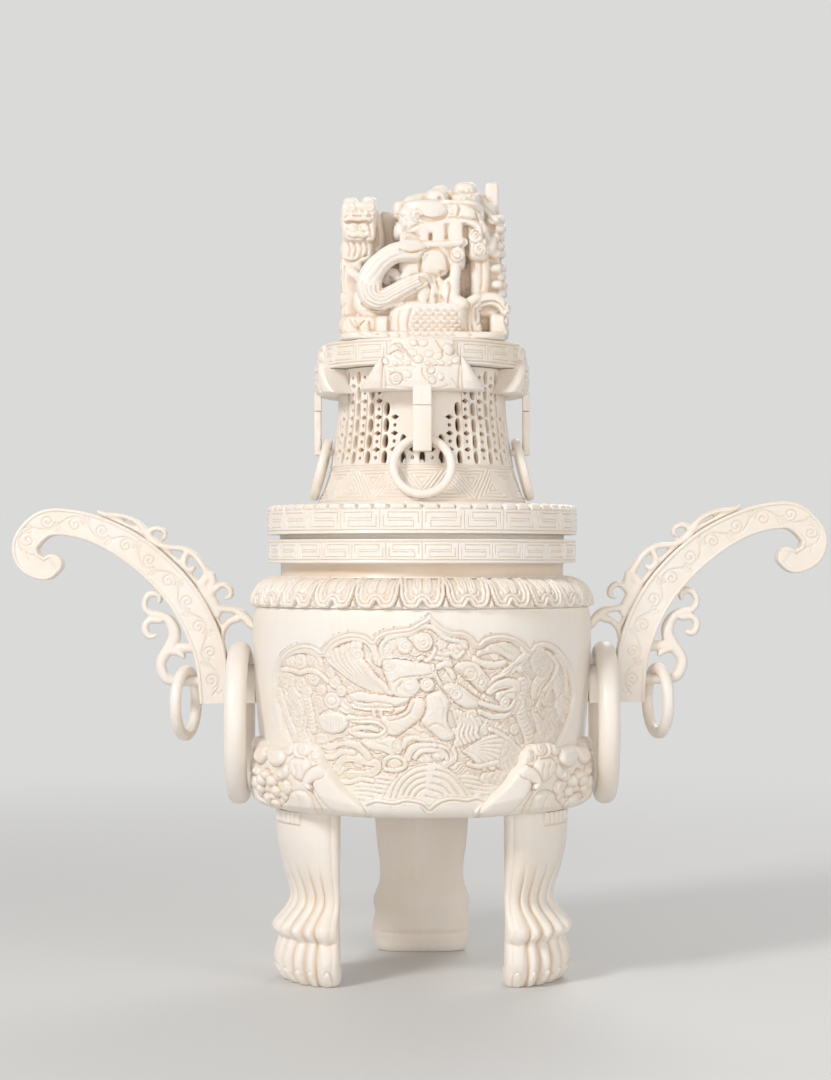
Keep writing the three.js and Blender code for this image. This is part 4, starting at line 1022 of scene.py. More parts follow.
def collar():
    """The lotus collar: one petal's relief, repeated round the burner"""
    petals, columns, spigot = 24, 40, 168.5
    outline = np.array([
        [80.9, BOWL_TOP], [81.2, BOWL_TOP + 1.5], [81.0, BOWL_TOP + 4], [79.9, BOWL_TOP + 7],
        [77.8, BOWL_TOP + 9.8], [74.6, BOWL_TOP + 12], [71, BOWL_TOP + 13.1], [NECK, COLLAR_TOP],
    ])
    line = smooth_path(outline, spacing=0.05)
    along = np.concatenate([[0], np.cumsum(np.hypot(*np.diff(line, axis=0).T))])
    place = np.arange(0, along[-1], 0.42)
    place = np.append(place, along[-1])
    radius, height = np.interp(place, along, line[:, 0]), np.interp(place, along, line[:, 1])
    slope = np.stack([np.gradient(radius), np.gradient(height)], 1)
    slope /= np.hypot(*slope.T)[:, None]
    out = np.stack([slope[:, 1], -slope[:, 0]], 1)

    pitch = 2 * math.pi * BELLY / petals
    half = pitch / 2
    across = (np.arange(columns) / columns - 0.5) * pitch
    x, y = np.meshgrid(across, place, indexing="ij")
    petal = smooth_path([[-half + 0.35, 26], [-half + 0.3, 9], [-half + 0.55, 6.2], [-half + 1.5, 3.2],
        [-half + 3.0, 1.1], [-half + 5, 0.5], [-3.4, 0.45], [-1.9, 1.0], [-1.1, 2.4], [0, 3.7], [1.1, 2.4],
        [1.9, 1.0], [3.4, 0.45], [half - 5, 0.5], [half - 3.0, 1.1], [half - 1.5, 3.2], [half - 0.55, 6.2],
        [half - 0.3, 9], [half - 0.35, 26]], closed=True, spacing=0.3)
    deep = depth_inside(x, y, petal)
    heart = deep - 3.7

    def rib(middle, reach):
        return np.sqrt(np.clip(1 - ((deep - middle) / reach) ** 2, 0, 1))

    # A bold rib round the petal's edge and a lower one inside it, then the heart between them
    ribs = 0.85 * rib(0.85, 0.95), 0.55 * rib(2.75, 0.8)
    relief = Relief(x, y)
    relief.form = np.where(deep > 0, ribs[0] * (deep < 1.8) + ribs[1] * (deep >= 1.8) - 0.15, -0.7)
    for sign in (-1, 1):
        mirror = np.array([sign, 1, 1])
        relief.band(mirror * [[2.9, 22, 3.6], [3.0, 14, 3.6], [2.8, 9.6, 3.3], [2.1, 7.4, 2.4]], -0.35,
            0.75, sink=0)
        relief.band(mirror * [[0.7, 22, 1.1], [0.75, 13, 1.1], [1.0, 8.6, 1.0], [2.2, 6.2, 1.0],
            [4.4, 6.3, 1.0], [5.0, 8.2, 1.0]], -0.25, 0.55, sink=0)
        relief.line(mirror[:2] * [[2.9, 21], [3.0, 14], [2.7, 9.8]], 0.35, 0.5)
    inner = np.where(heart > 0, relief.height, -9)
    base = np.where(deep > 0, ribs[0] + ribs[1] - 0.25 * eased(deep, 3.5, 3.9) - 0.15, -0.7)
    height_map = np.where(heart > 0, np.maximum(inner, base), base)
    dart = depth_inside(np.abs(x) - half, y, np.array([[-2.0, 0.35], [2.0, 0.35], [0.25, 6.0],
        [-0.25, 6.0]]))
    height_map = np.where(dart > 0, -0.5 + 1.0 * eased(dart, 0, 0.9), height_map)
    fade = eased(place, 0, 0.7) * (1 - eased(place, along[-1] - 0.8, along[-1] - 0.1))
    height_map = 1.65 * height_map * fade[None, :] - 0.35 * (1 - fade[None, :])

    all_columns = np.arange(petals * columns)
    angle = (all_columns / (petals * columns)) * 2 * math.pi
    lift = height_map[(all_columns + columns // 2) % columns]
    r = radius + lift * out[:, 0]
    z = height + lift * out[:, 1]
    outer = on_cylinder(angle[:, None], r, z)
    hidden = np.array([[MOUTH + 0.4, COLLAR_TOP], [MOUTH, COLLAR_TOP - 0.4], [MOUTH, spigot + 0.4],
                       [MOUTH + 0.4, spigot], [71.0, spigot], [71.3, spigot + 0.3], [71.3, BOWL_TOP]])
    inner_face = on_cylinder(angle[:, None], *hidden.T)
    piece = carved("petal_collar", loft(np.concatenate([outer, inner_face], 1), around=True))
    finish(piece, "burner", "carved_white", "petal_collar", rounds=10, depth=0.3)


collar()


# Fret bands

# One hooked arm of a fret's half unit, from 0 to 1 across and up. The other is it turned half round
FRET_ARM = [[0.09, 0.36], [0.09, 0.84], [0.80, 0.84], [0.80, 0.56], [0.22, 0.56]]


def fret_lines(flip):
    """The cut lines of one half unit"""
    arm = np.array(FRET_ARM)
    other = 1 - arm
    stem = np.array([[0.0, 1.0], [0.0, 0.42]])
    far_stem = np.array([[1.0, 0.0], [1.0, 0.58]])
    lines = [arm, other, stem, far_stem]
    if flip:
        lines = [np.stack([line[:, 0], 1 - line[:, 1]], 1) for line in lines]
    return lines


def groove_stops(values, low, high, width, fill):
    """Grid stops with three at each groove, and enough between them"""
    stops = {low, high}
    for value in values:
        stops.update(v for v in (value - width / 2, value, value + width / 2) if low <= v <= high)
    stops = sorted(stops)
    out = [stops[0]]
    for stop in stops[1:]:
        gap = stop - out[-1]
        if gap < 0.12:
            continue
        parts = max(1, math.ceil(gap / fill))
        out += [out[-1] + gap * (k + 1) / parts for k in range(parts)]
    return np.array(out)


def fret_band(half_units, radius, low, high, depth=0.42, width=0.8):
    """Angles and heights of a grid over a fret band, with the depth cut at each point"""
    pitch = 2 * math.pi * radius / half_units
    tall = high - low
    verticals = sorted({round(v, 4) for line in fret_lines(False) for v in line[:, 0]})
    verticals = [v * pitch for v in verticals]
    levels = sorted({round(v, 4) for flip in (False, True) for line in fret_lines(flip) for v in line[:, 1]})
    heights = groove_stops([low + v * tall for v in levels], low, high, width, 1.6)
    columns = groove_stops(verticals, 0, pitch, width, 2.4)[:-1]
    grids = []
    for flip in (False, True):
        x, z = np.meshgrid(columns, heights, indexing="ij")
        cut = np.zeros(x.shape)
        segments = []
        for line in fret_lines(flip):
            segments += list(zip(line[:-1], line[1:]))
        segments += [((0, 0), (1, 0)), ((0, 1), (1, 1))]
        for shift in (-1, 0, 1):
            for (ax, ay), (bx, by) in segments:
                ax, bx = (ax + shift) * pitch, (bx + shift) * pitch
                az, bz = low + ay * tall, low + by * tall
                dx, dz = bx - ax, bz - az
                t = np.clip(((x - ax) * dx + (z - az) * dz) / (dx * dx + dz * dz), 0, 1)
                away = np.hypot(x - ax - t * dx, z - az - t * dz)
                cut = np.maximum(cut, depth * np.clip(1 - away / (width / 2), 0, 1))
        grids.append(cut)
    cut = np.concatenate([grids[i % 2] for i in range(half_units)])
    angle = np.concatenate([(columns + i * pitch) / radius for i in range(half_units)])
    return angle, heights, cut


def fretted_ring(name, angle, sections, slot_name, body, *nodes):
    """A ring lofted round from its sections, each a closed line of radius and height"""
    points = on_cylinder(angle[:, None], sections[..., 0], sections[..., 1])
    piece = carved(name, loft(points, around=True))
    finish(piece, body, slot_name, *nodes, crease=30, rounds=3, depth=0.22)


def edge_arc(centre_radius, centre_height, size, start, end, steps=3):
    angle = np.linspace(start, end, steps + 1) * DEGREES
    return np.stack([centre_radius + size * np.cos(angle), centre_height + size * np.sin(angle)], 1)


def sections_of(angle, before, face_radius, heights, cut, after):
    """Closed sections: fixed points below the face, the cut face, and fixed points above it"""
    count = len(angle)
    face = np.stack([face_radius - cut, heights + 0 * cut], -1)
    return np.concatenate([
        np.broadcast_to(before, (count, *before.shape)), face, np.broadcast_to(after, (count, *after.shape)),
    ], 1)


def rims():
    soft = 0.5
    angle, heights, cut = fret_band(28, RIM, RIM_FOOT + 1.5, RIM_TOP - 1.5)
    before = np.vstack([[[MOUTH, RIM_FOOT]], edge_arc(RIM - soft, RIM_FOOT + soft, soft, -90, 0)])
    after = np.vstack([edge_arc(RIM - soft, RIM_TOP - soft, soft, 0, 90), [[NECK, RIM_TOP]],
        [[MOUTH, RIM_TOP]]])
    fretted_ring("rim_ring", angle, sections_of(angle, before, RIM, heights, cut, after),
                 "polished_white", "burner", "rim_ring")

    # The cover's rim has long beads along its upper edge, with a notch between each two
    beads_round = 60
    angle, heights, cut = fret_band(24, COVER_RIM, COVER_FOOT + 1.6, COVER_RIM_TOP - 3.4)
    stops = np.linspace(0, 2 * math.pi, beads_round * 12, endpoint=False)
    extra = np.array([a for a in stops if np.abs(angle - a).min() > 0.25 / COVER_RIM])
    merged = np.sort(np.concatenate([angle, extra]))
    cut = np.stack([np.interp(merged, angle, cut[:, j]) for j in range(cut.shape[1])], 1)
    angle = merged
    phase = (angle * beads_round / (2 * math.pi)) % 1 - 0.5
    bead = np.sqrt(np.clip(1 - (np.abs(phase) * 2) ** 4, 0, 1))
    notch = 2.6 * peak(np.abs(phase), 0.5, 0.075)
    before = np.vstack([[[50.8, COVER_FOOT]], edge_arc(COVER_RIM - soft, COVER_FOOT + soft, soft, -90, 0)])
    sections = sections_of(angle, before, COVER_RIM, heights, cut, np.zeros((0, 2)))
    top = []
    for share, back in zip(bead, notch):
        crown = 1.75 * share
        top.append(np.array([[-back, 0]]) * (np.arange(14) < 9)[:, None] + np.vstack([
            [[COVER_RIM, COVER_RIM_TOP - 2.6], [COVER_RIM - 0.35, COVER_RIM_TOP - 2.3]],
            edge_arc(COVER_RIM - 2.0, COVER_RIM_TOP - 2.1, 1.6 + 0.12 * share, 0, 90, 5)
            * [1, 0] + np.array([0, 1]) * (COVER_RIM_TOP - 2.2
                                           + crown * np.sin(np.linspace(0, 90, 6) * DEGREES))[:, None],
            [[COVER_RIM - 3.4, COVER_RIM_TOP - 2.2 + crown * 0.86],
             [COVER_RIM - 4.4, COVER_RIM_TOP - 1.6], [COVER_RIM - 5.0, COVER_RIM_TOP - 0.6],
             [SKIRT_FOOT + 1, COVER_RIM_TOP - 0.3], [46.8, COVER_RIM_TOP - 0.3], [46.8, COVER_FOOT]],
        ]))
    sections = np.concatenate([sections, np.array(top)], 1)
    fretted_ring("cover_rim", angle, sections, "polished_white", "cover", "cover_rim")


def drum():
    """The drum over the skirt, with its fret and the peg's hole"""
    soft, spigot, hole = 0.6, 35.7, 4.3
    angle, heights, cut = fret_band(18, DRUM, DRUM_FOOT + 1.6, DRUM_TOP - 1.6)
    before = np.vstack([[[hole, 282], [spigot - 0.4, 282], [spigot, 282.4], [spigot, DRUM_FOOT]],
                        edge_arc(DRUM - soft, DRUM_FOOT + soft, soft, -90, 0)])
    after = np.vstack([edge_arc(DRUM - soft, DRUM_TOP - soft, soft, 0, 90),
        [[40, DRUM_TOP], [hole, DRUM_TOP]]])
    fretted_ring("fretted_drum", angle, sections_of(angle, before, DRUM, heights, cut, after),
                 "carved_white", "cover", "fretted_drum")


rims()
drum()

# The pierced skirt

LENS_COLUMNS, LENS_ROWS, LENS_PITCH, LENS_FOOT = 30, 6, 7.6, 243.9
LATTICE_FOOT, LATTICE_TOP = 241.2, 286.6
WAIST = 42
PLAIN_EDGE = np.array([[249.0, 0.0], [250.5, 9.0], [255.0, 12.8], [259.0, 14.6], [263.0, 17.6],
    [271.0, 24.5], [290.0, 27.0]])


def hole_outline(kind):
    if kind == "lens":
        turn = np.linspace(0, 2 * math.pi, 14, endpoint=False)
        return np.stack([1.25 * np.sign(np.sin(turn)) * np.abs(np.sin(turn)) ** 0.9, 3.1 * np.cos(turn)], 1)
    if kind == "diamond":
        turn = np.linspace(0, 2 * math.pi, 12, endpoint=False)
        reach = (np.abs(np.cos(turn)) + np.abs(np.sin(turn))) ** -0.85
        return np.stack([1.6 * reach * np.cos(turn), 1.2 * reach * np.sin(turn)], 1)
    turn = np.linspace(0, 2 * math.pi, 8, endpoint=False)
    return np.stack([0.72 * np.cos(turn), 0.85 * np.sin(turn)], 1)


def plain_there(angle, height):
    """Whether the skirt is left plain there, behind a strap"""
    local = (angle + 45) % 90 - 45
    return abs(local) < np.interp(height, PLAIN_EDGE[:, 0], PLAIN_EDGE[:, 1])


def strip_holes(strip):
    """The holes of one upright strip, as kind and height"""
    angle = strip * 180 / LENS_COLUMNS
    holes = []
    for row in range(LENS_ROWS):
        lens = LENS_FOOT + row * LENS_PITCH
        if strip % 2 == 0:
            holes.append(("lens", lens))
        else:
            holes.append(("dot", lens))
            if row < LENS_ROWS - 1:
                holes.append(("diamond", lens + LENS_PITCH / 2))
    return [(kind, z) for kind, z in holes if not plain_there(angle, z)]


def lattice():
    """The pierced wall, strip by strip, with each hole eased at its outer edge"""
    wall, ease, step = 3.2, 0.6, 0.95
    outer_edge, inner_edge = np.array([1.32, 1.13]), np.array([1.0, 1.0])
    half = 90 / LENS_COLUMNS * DEGREES
    stops = np.linspace(LATTICE_FOOT, LATTICE_TOP, int((LATTICE_TOP - LATTICE_FOOT) / step) + 1)
    points, faces = [], []
    for strip in range(2 * LENS_COLUMNS):
        middle = strip * math.pi / LENS_COLUMNS
        outlines = [(hole_outline(kind), z) for kind, z in strip_holes(strip)]
        for depth, spread, outward in ((0, outer_edge, True), (wall, inner_edge, False)):
            border = [(-half, z) for z in stops] + [(0.0, LATTICE_TOP)] + [(half, z) for z in stops[::-1]]
            border.append((0.0, LATTICE_FOOT))
            flat = list(border)
            edges = [(i, (i + 1) % len(border)) for i in range(len(border))]
            rings = []
            for outline, z in outlines:
                first = len(flat)
                for x, y in outline * spread:
                    flat.append((x / radius_on(SKIRT_LINE, z), z + y))
                ring = list(range(first, len(flat)))
                rings.append(ring)
                edges += list(zip(ring, ring[1:] + ring[:1]))
            flat_mm = [Vector((a * WAIST, z)) for a, z in flat]
            out_points, _, triangles, *_ = delaunay_2d_cdt(flat_mm, edges, [], 0, 0.0001)
            out_points = np.array(out_points)
            centres = out_points[np.array(triangles)].mean(1)
            kept = np.ones(len(triangles), bool)
            for ring in rings:
                hole = np.array([flat_mm[i] for i in ring])
                kept &= inside_distance(centres, hole) < 0
            first = len(points)
            for a, z in out_points:
                r = radius_on(SKIRT_LINE, z) - depth
                points.append(on_cylinder(middle + a / WAIST, r, z))
            for triangle, keep in zip(triangles, kept):
                if keep:
                    order = triangle if outward else triangle[::-1]
                    faces.append([first + i for i in order])
        for outline, z in outlines:
            r = radius_on(SKIRT_LINE, z)
            rows = []
            for spread, depth in ((outer_edge, 0), (inner_edge, ease), (inner_edge, wall)):
                first = len(points)
                for x, y in outline * spread:
                    height = z + y
                    reach = radius_on(SKIRT_LINE, height) - depth
                    points.append(on_cylinder(middle + x / r, reach, height))
                rows.append(np.arange(first, len(points)))
            for a, b in zip(rows[:-1], rows[1:]):
                for i in range(len(a)):
                    j = (i + 1) % len(a)
                    faces.append([a[i], a[j], b[j], b[i]])
        for z in (LATTICE_FOOT, LATTICE_TOP):
            r = radius_on(SKIRT_LINE, z)
            for a, b in ((-half, 0.0), (0.0, half)):
                first = len(points)
                points += [on_cylinder(middle + a, r, z), on_cylinder(middle + b, r, z),
                           on_cylinder(middle + b, r - wall, z), on_cylinder(middle + a, r - wall, z)]
                faces.append(list(range(first, first + 4)))
    return np.array(points), faces


def triangle_band():
    """The band at the skirt's foot, cut with nested triangles that stand and hang in turn"""
    count, low, high = 12, 222.4, LATTICE_FOOT + 0.05
    columns = 56
    half = math.pi / count * 47.0
    across = np.linspace(-half, half, columns, endpoint=False)
    height = np.arange(low, high, 0.4)
    height = np.append(height, high)
    x, z = np.meshgrid(across, height, indexing="ij")
    foot, top = 224.0, 239.4
    hanging = np.array([[-half, top], [half, top], [0, foot]])
    standing = np.array([[half, top], [2 * half, foot], [0, foot]])
    inside = np.maximum(depth_inside(x, z, hanging), depth_inside(np.abs(x), z, standing))
    cut = np.zeros(x.shape)
    for k in range(4):
        cut = np.maximum(cut, 0.62 * np.clip(1.25 - np.abs(inside - 0.1 - 1.55 * k) / 0.5, 0, 1))
    for line in (223.7, 240.2):
        cut = np.maximum(cut, 0.55 * np.clip(1.2 - np.abs(z - line) / 0.5, 0, 1))
    angle = np.arange(count * columns) * 2 * math.pi / (count * columns)
    cut = cut[(np.arange(count * columns) + columns // 2) % columns]
    r = radius_on(SKIRT_LINE, height) - cut
    r = np.where(height > high - 0.01, radius_on(SKIRT_LINE, height), r)
    outer = on_cylinder(angle[:, None], r, height)
    inner = np.array([[radius_on(SKIRT_LINE, high) - 3.2, high], [43.4, 232], [46.9, 222.8], [47.0, 222.4]])
    back = on_cylinder(angle[:, None], *inner.T)
    return loft(np.concatenate([outer, back], 1), around=True)


def skirt():
    piece = carved("pierced_skirt", lattice(), triangle_band())
    edit(piece, (bpy.ops.mesh.remove_doubles, {"threshold": 0.00001}))
    # Painted shade on the hole walls and the cut grooves, the more the further they lie in from the skirt's
    # face
    x, y, z = read(piece.data, "co").T / MM
    inset = radius_on(SKIRT_LINE, z) - np.hypot(x, y)
    finish(piece, "cover", "carved_white", "pierced_skirt", crease=50, rounds=0, deep=0.85 * eased(inset,
        0.1, 0.9))


skirt()

# The cover's masks, straps and rings

MASK_FOOT, MASK_SHOULDER, MASK_TOP = 274.6, 289.6, 298.2
STRAP_FACE, STRAP_HALF, STRAP_THICK, STRAP_TOP = 51.5, 4.35, 3.2, 267.5
STRAP_FOOT_TOP, STRAP_FOOT_BACK = 249.23, 41.2
# The mask was drawn on a sheet of its own: the size of its unit, its middle and its top
MASK_UNIT, MASK_MIDDLE, MASK_SHEET_TOP = 0.0655, 750, 304.2


def on_mask(stations):
    """Stations drawn on the mask's own sheet, as mm across and up"""
    stations = np.array(stations, float)
    across = MASK_UNIT * (stations[:, 0] - MASK_MIDDLE)
    up = MASK_SHEET_TOP - MASK_UNIT * stations[:, 1]
    return np.column_stack([across, up, stations[:, 2:]])


def beast_relief(across, up):
    """The worn beast's face on a cover mask: low curls and strokes, and a ridged wing at each side"""
    relief = Relief(across, up, floor=-0.9)
    for side in (-1, 1):
        wing = np.array([[18.9, 289.4, 2.6], [20.6, 285.4, 5.2], [22.6, 280.6, 8.6], [24.8, 274.2, 12]])
        relief.band(wing * [side, 1, 1], -0.5, 2.2, sink=0.5, square=1.12)
        relief.line([[side * 16.7, 274.6], [side * 16.9, 281], [side * 17.4, 287.5]], 0.6, 0.7)
    relief.sheet = on_mask
    for x, y, rx, ry, rise in ((722, 236, 2.2, 2.0, 0.8), (490, 250, 1.9, 1.3, 0.7), (560, 268, 1.2, 0.7,
            0.4), (600, 264, 1.2, 0.7, 0.4), (650, 262, 1.4, 0.9, 0.5), (790, 264, 1.3, 0.8, 0.4),
            (840, 268, 1.2, 0.7, 0.4), (890, 266, 1.3, 0.8, 0.4), (945, 262, 1.3, 0.9, 0.5),
            (990, 240, 2.1, 1.5, 0.7), (880, 365, 1.5, 1.4, 0.5), (640, 345, 2.4, 1.5, 0.35),
            (545, 320, 2.6, 1.1, 0.3), (680, 190, 2.2, 1.6, 0.35), (800, 200, 2.0, 1.4, 0.3),
            (590, 215, 2.2, 1.2, 0.3), (935, 165, 2.3, 2.7, 1.0), (690, 120, 1.8, 1.4, 0.4),
            (760, 120, 2.0, 1.6, 0.4), (860, 215, 2.2, 1.5, 0.3)):
        relief.boss(x, y, (rx, ry), 0.0, rise, turn=0.2 * (x - MASK_MIDDLE), sink=0.3)
    for x, y, radius, start in ((812, 315, 1.7, 0), (820, 385, 1.6, 120), (566, 372, 2.7, 200)):
        relief.curl(x, y, radius, 0.0, 0.5, start=start)
    relief.band([[520, 190, 1.0], [545, 160, 2.8], [585, 150, 3.0], [615, 180, 1.0]], -0.1, 0.8,
        plates(1.6, 0.3))
    for depth, *stations in (
        (0.9, [562, 132], [590, 152], [616, 178]), (0.8, [632, 168], [655, 205], [680, 245]),
        (0.8, [706, 92], [716, 118], [726, 142]), (0.8, [845, 98], [862, 128], [882, 160]),
        (0.9, [893, 172], [890, 190], [898, 205]), (0.8, [968, 135], [975, 165], [968, 195]),
        (0.6, [750, 305], [752, 340], [780, 382]), (0.5, [960, 370], [985, 405], [1012, 440]),
        (0.5, [520, 345], [565, 332], [612, 350]), (0.5, [596, 392], [620, 380], [642, 395]),
        (0.5, [500, 418], [620, 438], [740, 440]), (0.5, [820, 440], [880, 438], [925, 422]),
        (0.4, [500, 290], [640, 284], [700, 292]), (0.4, [780, 288], [860, 282], [960, 290]),
    ):
        relief.line(stations, depth)
    return relief.height


def cover_mask():
    """One mask as horizontal sections, hung on the drum and over the skirt's waist, with the strap's tab"""
    heights = np.concatenate([np.arange(MASK_FOOT, 286.6, 0.33), [286.6, 286.75], np.arange(287.05,
        MASK_TOP, 0.33)])
    columns = 130
    spread = np.linspace(-1, 1, columns)
    half = np.interp(heights, [MASK_FOOT, 288.6, 289.9, 291.2, MASK_TOP], [29.3, 20.4, 18.6, 15.8, 14.4])
    face = np.interp(heights, [MASK_FOOT, 275.6, 279, 285, 290, MASK_TOP], [49.6, 50.7, 51.4, 51.4, 50.4,
        49.0])
    x = spread[:, None] * half[None, :]
    z = np.broadcast_to(heights, x.shape)
    relief = beast_relief(x, np.array(z))
    edge = (1 - np.abs(spread))[:, None] * half[None, :]
    ends = np.minimum(z - MASK_FOOT, MASK_TOP - z)
    r = face + relief - 0.9 * (1 - rounded(edge / 0.9)) - 0.8 * (1 - rounded(ends / 0.8))
    angle = np.arcsin(np.clip(x / r, -0.9, 0.9))
    front = on_cylinder(angle, r, z)
    back_radius = np.where(heights < 286.7, 40.4, DRUM - 0.3)
    picks = [columns - 1, columns - 20, columns // 2, 20, 0]
    back = on_cylinder(angle[picks], back_radius, z[picks])
    rings = np.concatenate([front, back], 0).transpose(1, 0, 2)
    tab_y = [-STRAP_FACE, -STRAP_FACE + STRAP_THICK]
    ease = 0.4
    tab_section = np.array([
        [-STRAP_HALF + ease, tab_y[0]], [STRAP_HALF - ease, tab_y[0]], [STRAP_HALF, tab_y[0] + ease],
        [STRAP_HALF, tab_y[1]], [-STRAP_HALF, tab_y[1]], [-STRAP_HALF, tab_y[0] + ease],
    ])
    tab = np.stack([np.column_stack([tab_section, np.full(6, level)]) for level in (267.8, 268.0, 276.5)])
    tab[0, :, :2] = tab[0, :, :2] * 0.985 + np.array([0, tab_y[0] * 0.015])
    return rings, tab


def strap(place, angle):
    """A strap below its mask, with the foot that carries the ring"""
    y0, y1 = -STRAP_FACE, -STRAP_FACE + STRAP_THICK
    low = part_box(f"strap_{place}")[0][2] / MM
    outline = [[y0, STRAP_TOP], [y0, low], [-STRAP_FOOT_BACK, low], [-STRAP_FOOT_BACK, STRAP_FOOT_TOP],
               [y1, STRAP_FOOT_TOP], [y1, STRAP_TOP]]
    points = [(-STRAP_HALF, y, z) for y, z in outline]
    piece = started(f"strap_{place}", points, [], [list(range(len(points)))])
    across = {"value": (2 * STRAP_HALF * MM, 0, 0)}
    edit(piece, (bpy.ops.mesh.extrude_region_move, {"TRANSFORM_OT_translate": across}))
    ease_edges(piece, 0.55)
    piece.rotation_euler = (0, 0, angle * DEGREES)
    settle(piece)
    finish(piece, "cover", "carved_white", f"strap_{place}", rounds=3)


def cover_hangings():
    rings, tab = cover_mask()
    low, high = (np.array(corner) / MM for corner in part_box("cover_ring_front"))
    radius, tube = 13.4, 2.1
    middle, reach = (low + high) / 2, (high - low) / 2
    lean = math.atan2(reach[1] - tube, reach[2] - tube)
    for place, angle in SIDES.items():
        turn = turned(angle).T
        name = f"cover_mask_{place}"
        piece = carved(name, loft(rings @ turn), loft(tab @ turn))
        finish(piece, "cover", "carved_white", name, rounds=7, depth=0.3)
        strap(place, angle)
        ring = loose_ring(f"cover_ring_{place}", radius, tube, (0, middle[1], middle[2]),
                          (math.pi / 2 - lean, 0, 0))
        ring.rotation_euler = (0, 0, angle * DEGREES)
        settle(ring)
        finish(ring, f"cover_ring_{place}", "polished_white", f"cover_ring_{place}")


cover_hangings()

# The lion-paw legs

# A leg's size by height: its inner face and its outer face from the burner's axis, and half its width
LEG_ROWS = np.array([[0, 52.6, 67.2, 19.4], [0.5, 51.8, 68.6, 20.4], [2.5, 51.0, 70.6, 21.6],
    [6, 50.6, 72.5, 22.6], [11.5, 50.4, 73.4, 23.1], [16, 50.5, 72.6, 22.7], [20, 50.7, 71.6, 22.2],
    [23.5, 50.6, 74.2, 22.9], [27, 50.6, 74.0, 22.6], [31, 50.8, 70.6, 21.4], [35.5, 51, 66.6, 20.3],
    [40, 51, 65.4, 20.0], [46, 51, 66.9, 20.4], [53, 50.8, 69.6, 21.4], [66, 50.5, 72.6, 22.5],
    [80, 50.5, 73, 22.8]])
TOE_PITCH, TOE_SPAN = 24.0, 60.0


def leg_points():
    """A paw leg's sections from the floor up, round from its outer face, before it is turned to its place"""
    heights = np.concatenate([[0, 0.12, 0.35, 0.7], np.arange(1.1, 79.4, 0.5), [79.4, 79.8, 80]])
    line = smooth_path(LEG_ROWS, spacing=0.2)
    line = line[np.argsort(line[:, 0])]
    near, far, half = (np.interp(heights, line[:, 0], line[:, k]) for k in (1, 2, 3))
    turn = np.linspace(-180, 180, 169)[:-1]
    a, z = np.meshgrid(turn, heights, indexing="ij")
    middle, depth = (near + far) / 2, (far - near) / 2

    # Toes: rounded between creases, which run up the ankle as grooves between the tendons
    toe = ((a + TOE_SPAN) / TOE_PITCH) % 1
    on_toes = (np.abs(a) < TOE_SPAN + 1e-6)
    crease_near = np.minimum(toe, 1 - toe) * TOE_PITCH
    crease_near = np.where(on_toes, crease_near, np.abs(np.abs(a) - TOE_SPAN))
    strength = np.interp(z, [0, 4, 14, 24, 31, 40, 50, 58, 80], [1.2, 2.1, 2.0, 2.2, 1.7, 1.25, 0.75, 0, 0])
    width = np.interp(z, [0, 12, 20, 28, 40, 80], [6.5, 7.5, 6.0, 7.0, 5.0, 4.5])
    push = -strength * np.exp(-((crease_near / width) ** 2) * 1.6)
    swell = np.interp(z, [0, 8, 20, 25, 31, 60], [0.5, 1.1, 0.4, 1.2, 0.3, 0])
    push += np.where(on_toes, swell * np.sin(math.pi * toe) ** 2, 0)

    # A skin fold above each toe joint, and the nails
    joint = 20.2 + 0.6 * np.cos(a * DEGREES * 7)
    push -= np.where(np.abs(a) < 100, 0.5 * peak(z, joint, 0.9), 0)
    for centre in (-48, -24, 0, 24, 48, -80, 80):
        broad = 7.5 if abs(centre) < 60 else 11
        inside = 1 - np.hypot((a - centre) / broad, (z - 1.5) / 6.2)
        push += 0.75 * eased(inside, 0, 0.18) - 0.45 * peak(inside, 0, 0.09) * (z < 9)
    side = peak(np.abs(a), 84, 20)
    push += side * np.interp(z, [0, 5, 11, 20, 27, 34, 80], [0.2, 1.0, 1.4, 0.4, 1.0, 0, 0])
    # The inner side is smooth, with a soft edge over the sole
    back = np.clip((np.abs(a) - 112) / 20, 0, 1)
    push -= back * 0.55 * peak(z, 9.5, 1.1)
    push += back * np.interp(z, [0, 3, 8.5, 10.5, 80], [0.6, 1.0, 0.7, 0, 0])
    # Bars at the top, under the mask's jaw
    bars = 0.9 * (np.abs(np.sin(math.pi * (a + 30) / 10)) > 0.42) * (np.abs(a) < 30)
    push += bars * np.interp(z, [0, 74.2, 74.9, 79.6, 80], [0, 0, 1, 1, 1])
    push -= 0.4 * peak(z, 73.9, 0.35) * (np.abs(a) < 31)

    u = middle + (depth + push) * np.cos(a * DEGREES)
    v = (half + push) * np.sin(a * DEGREES)
    # The inner face is flatter than an oval
    flat = np.clip(-np.cos(a * DEGREES), 0, 1)
    v = v * (1 + 0.10 * flat * (1 - flat) * 4)
    return np.stack([v, -u, z], -1).transpose(1, 0, 2)


def legs():
    rings = leg_points()
    for place, angle in LEGS.items():
        name = f"leg_{place}"
        piece = carved(name, loft(rings @ turned(angle).T))
        finish(piece, "burner", "carved_white", name, crease=50, rounds=10, depth=0.35)


legs()


# The lion masks over the legs

LION_LINE = np.array([[70.5, 79.6], [75.5, 80.6], [79.8, 84.0], [82.2, 90.0], [83.0, 98.0], [82.6, 104.0],
    [81.4, 108.4], [80.0, 112.5]])
LION_REACH = 60 * DEGREES * PANEL_RADIUS

# One side of the mask's outline, from the middle of its brow down to the tip of its scroll
LION_EDGE = [[1484, 728], [1455, 706], [1425, 722], [1395, 712], [1360, 692], [1320, 690], [1282, 703],
    [1252, 728], [1240, 760], [1238, 800], [1216, 826], [1190, 868], [1158, 908], [1112, 948], [1062, 985],
    [1028, 1010], [1004, 1042], [1000, 1064], [1012, 1076]]


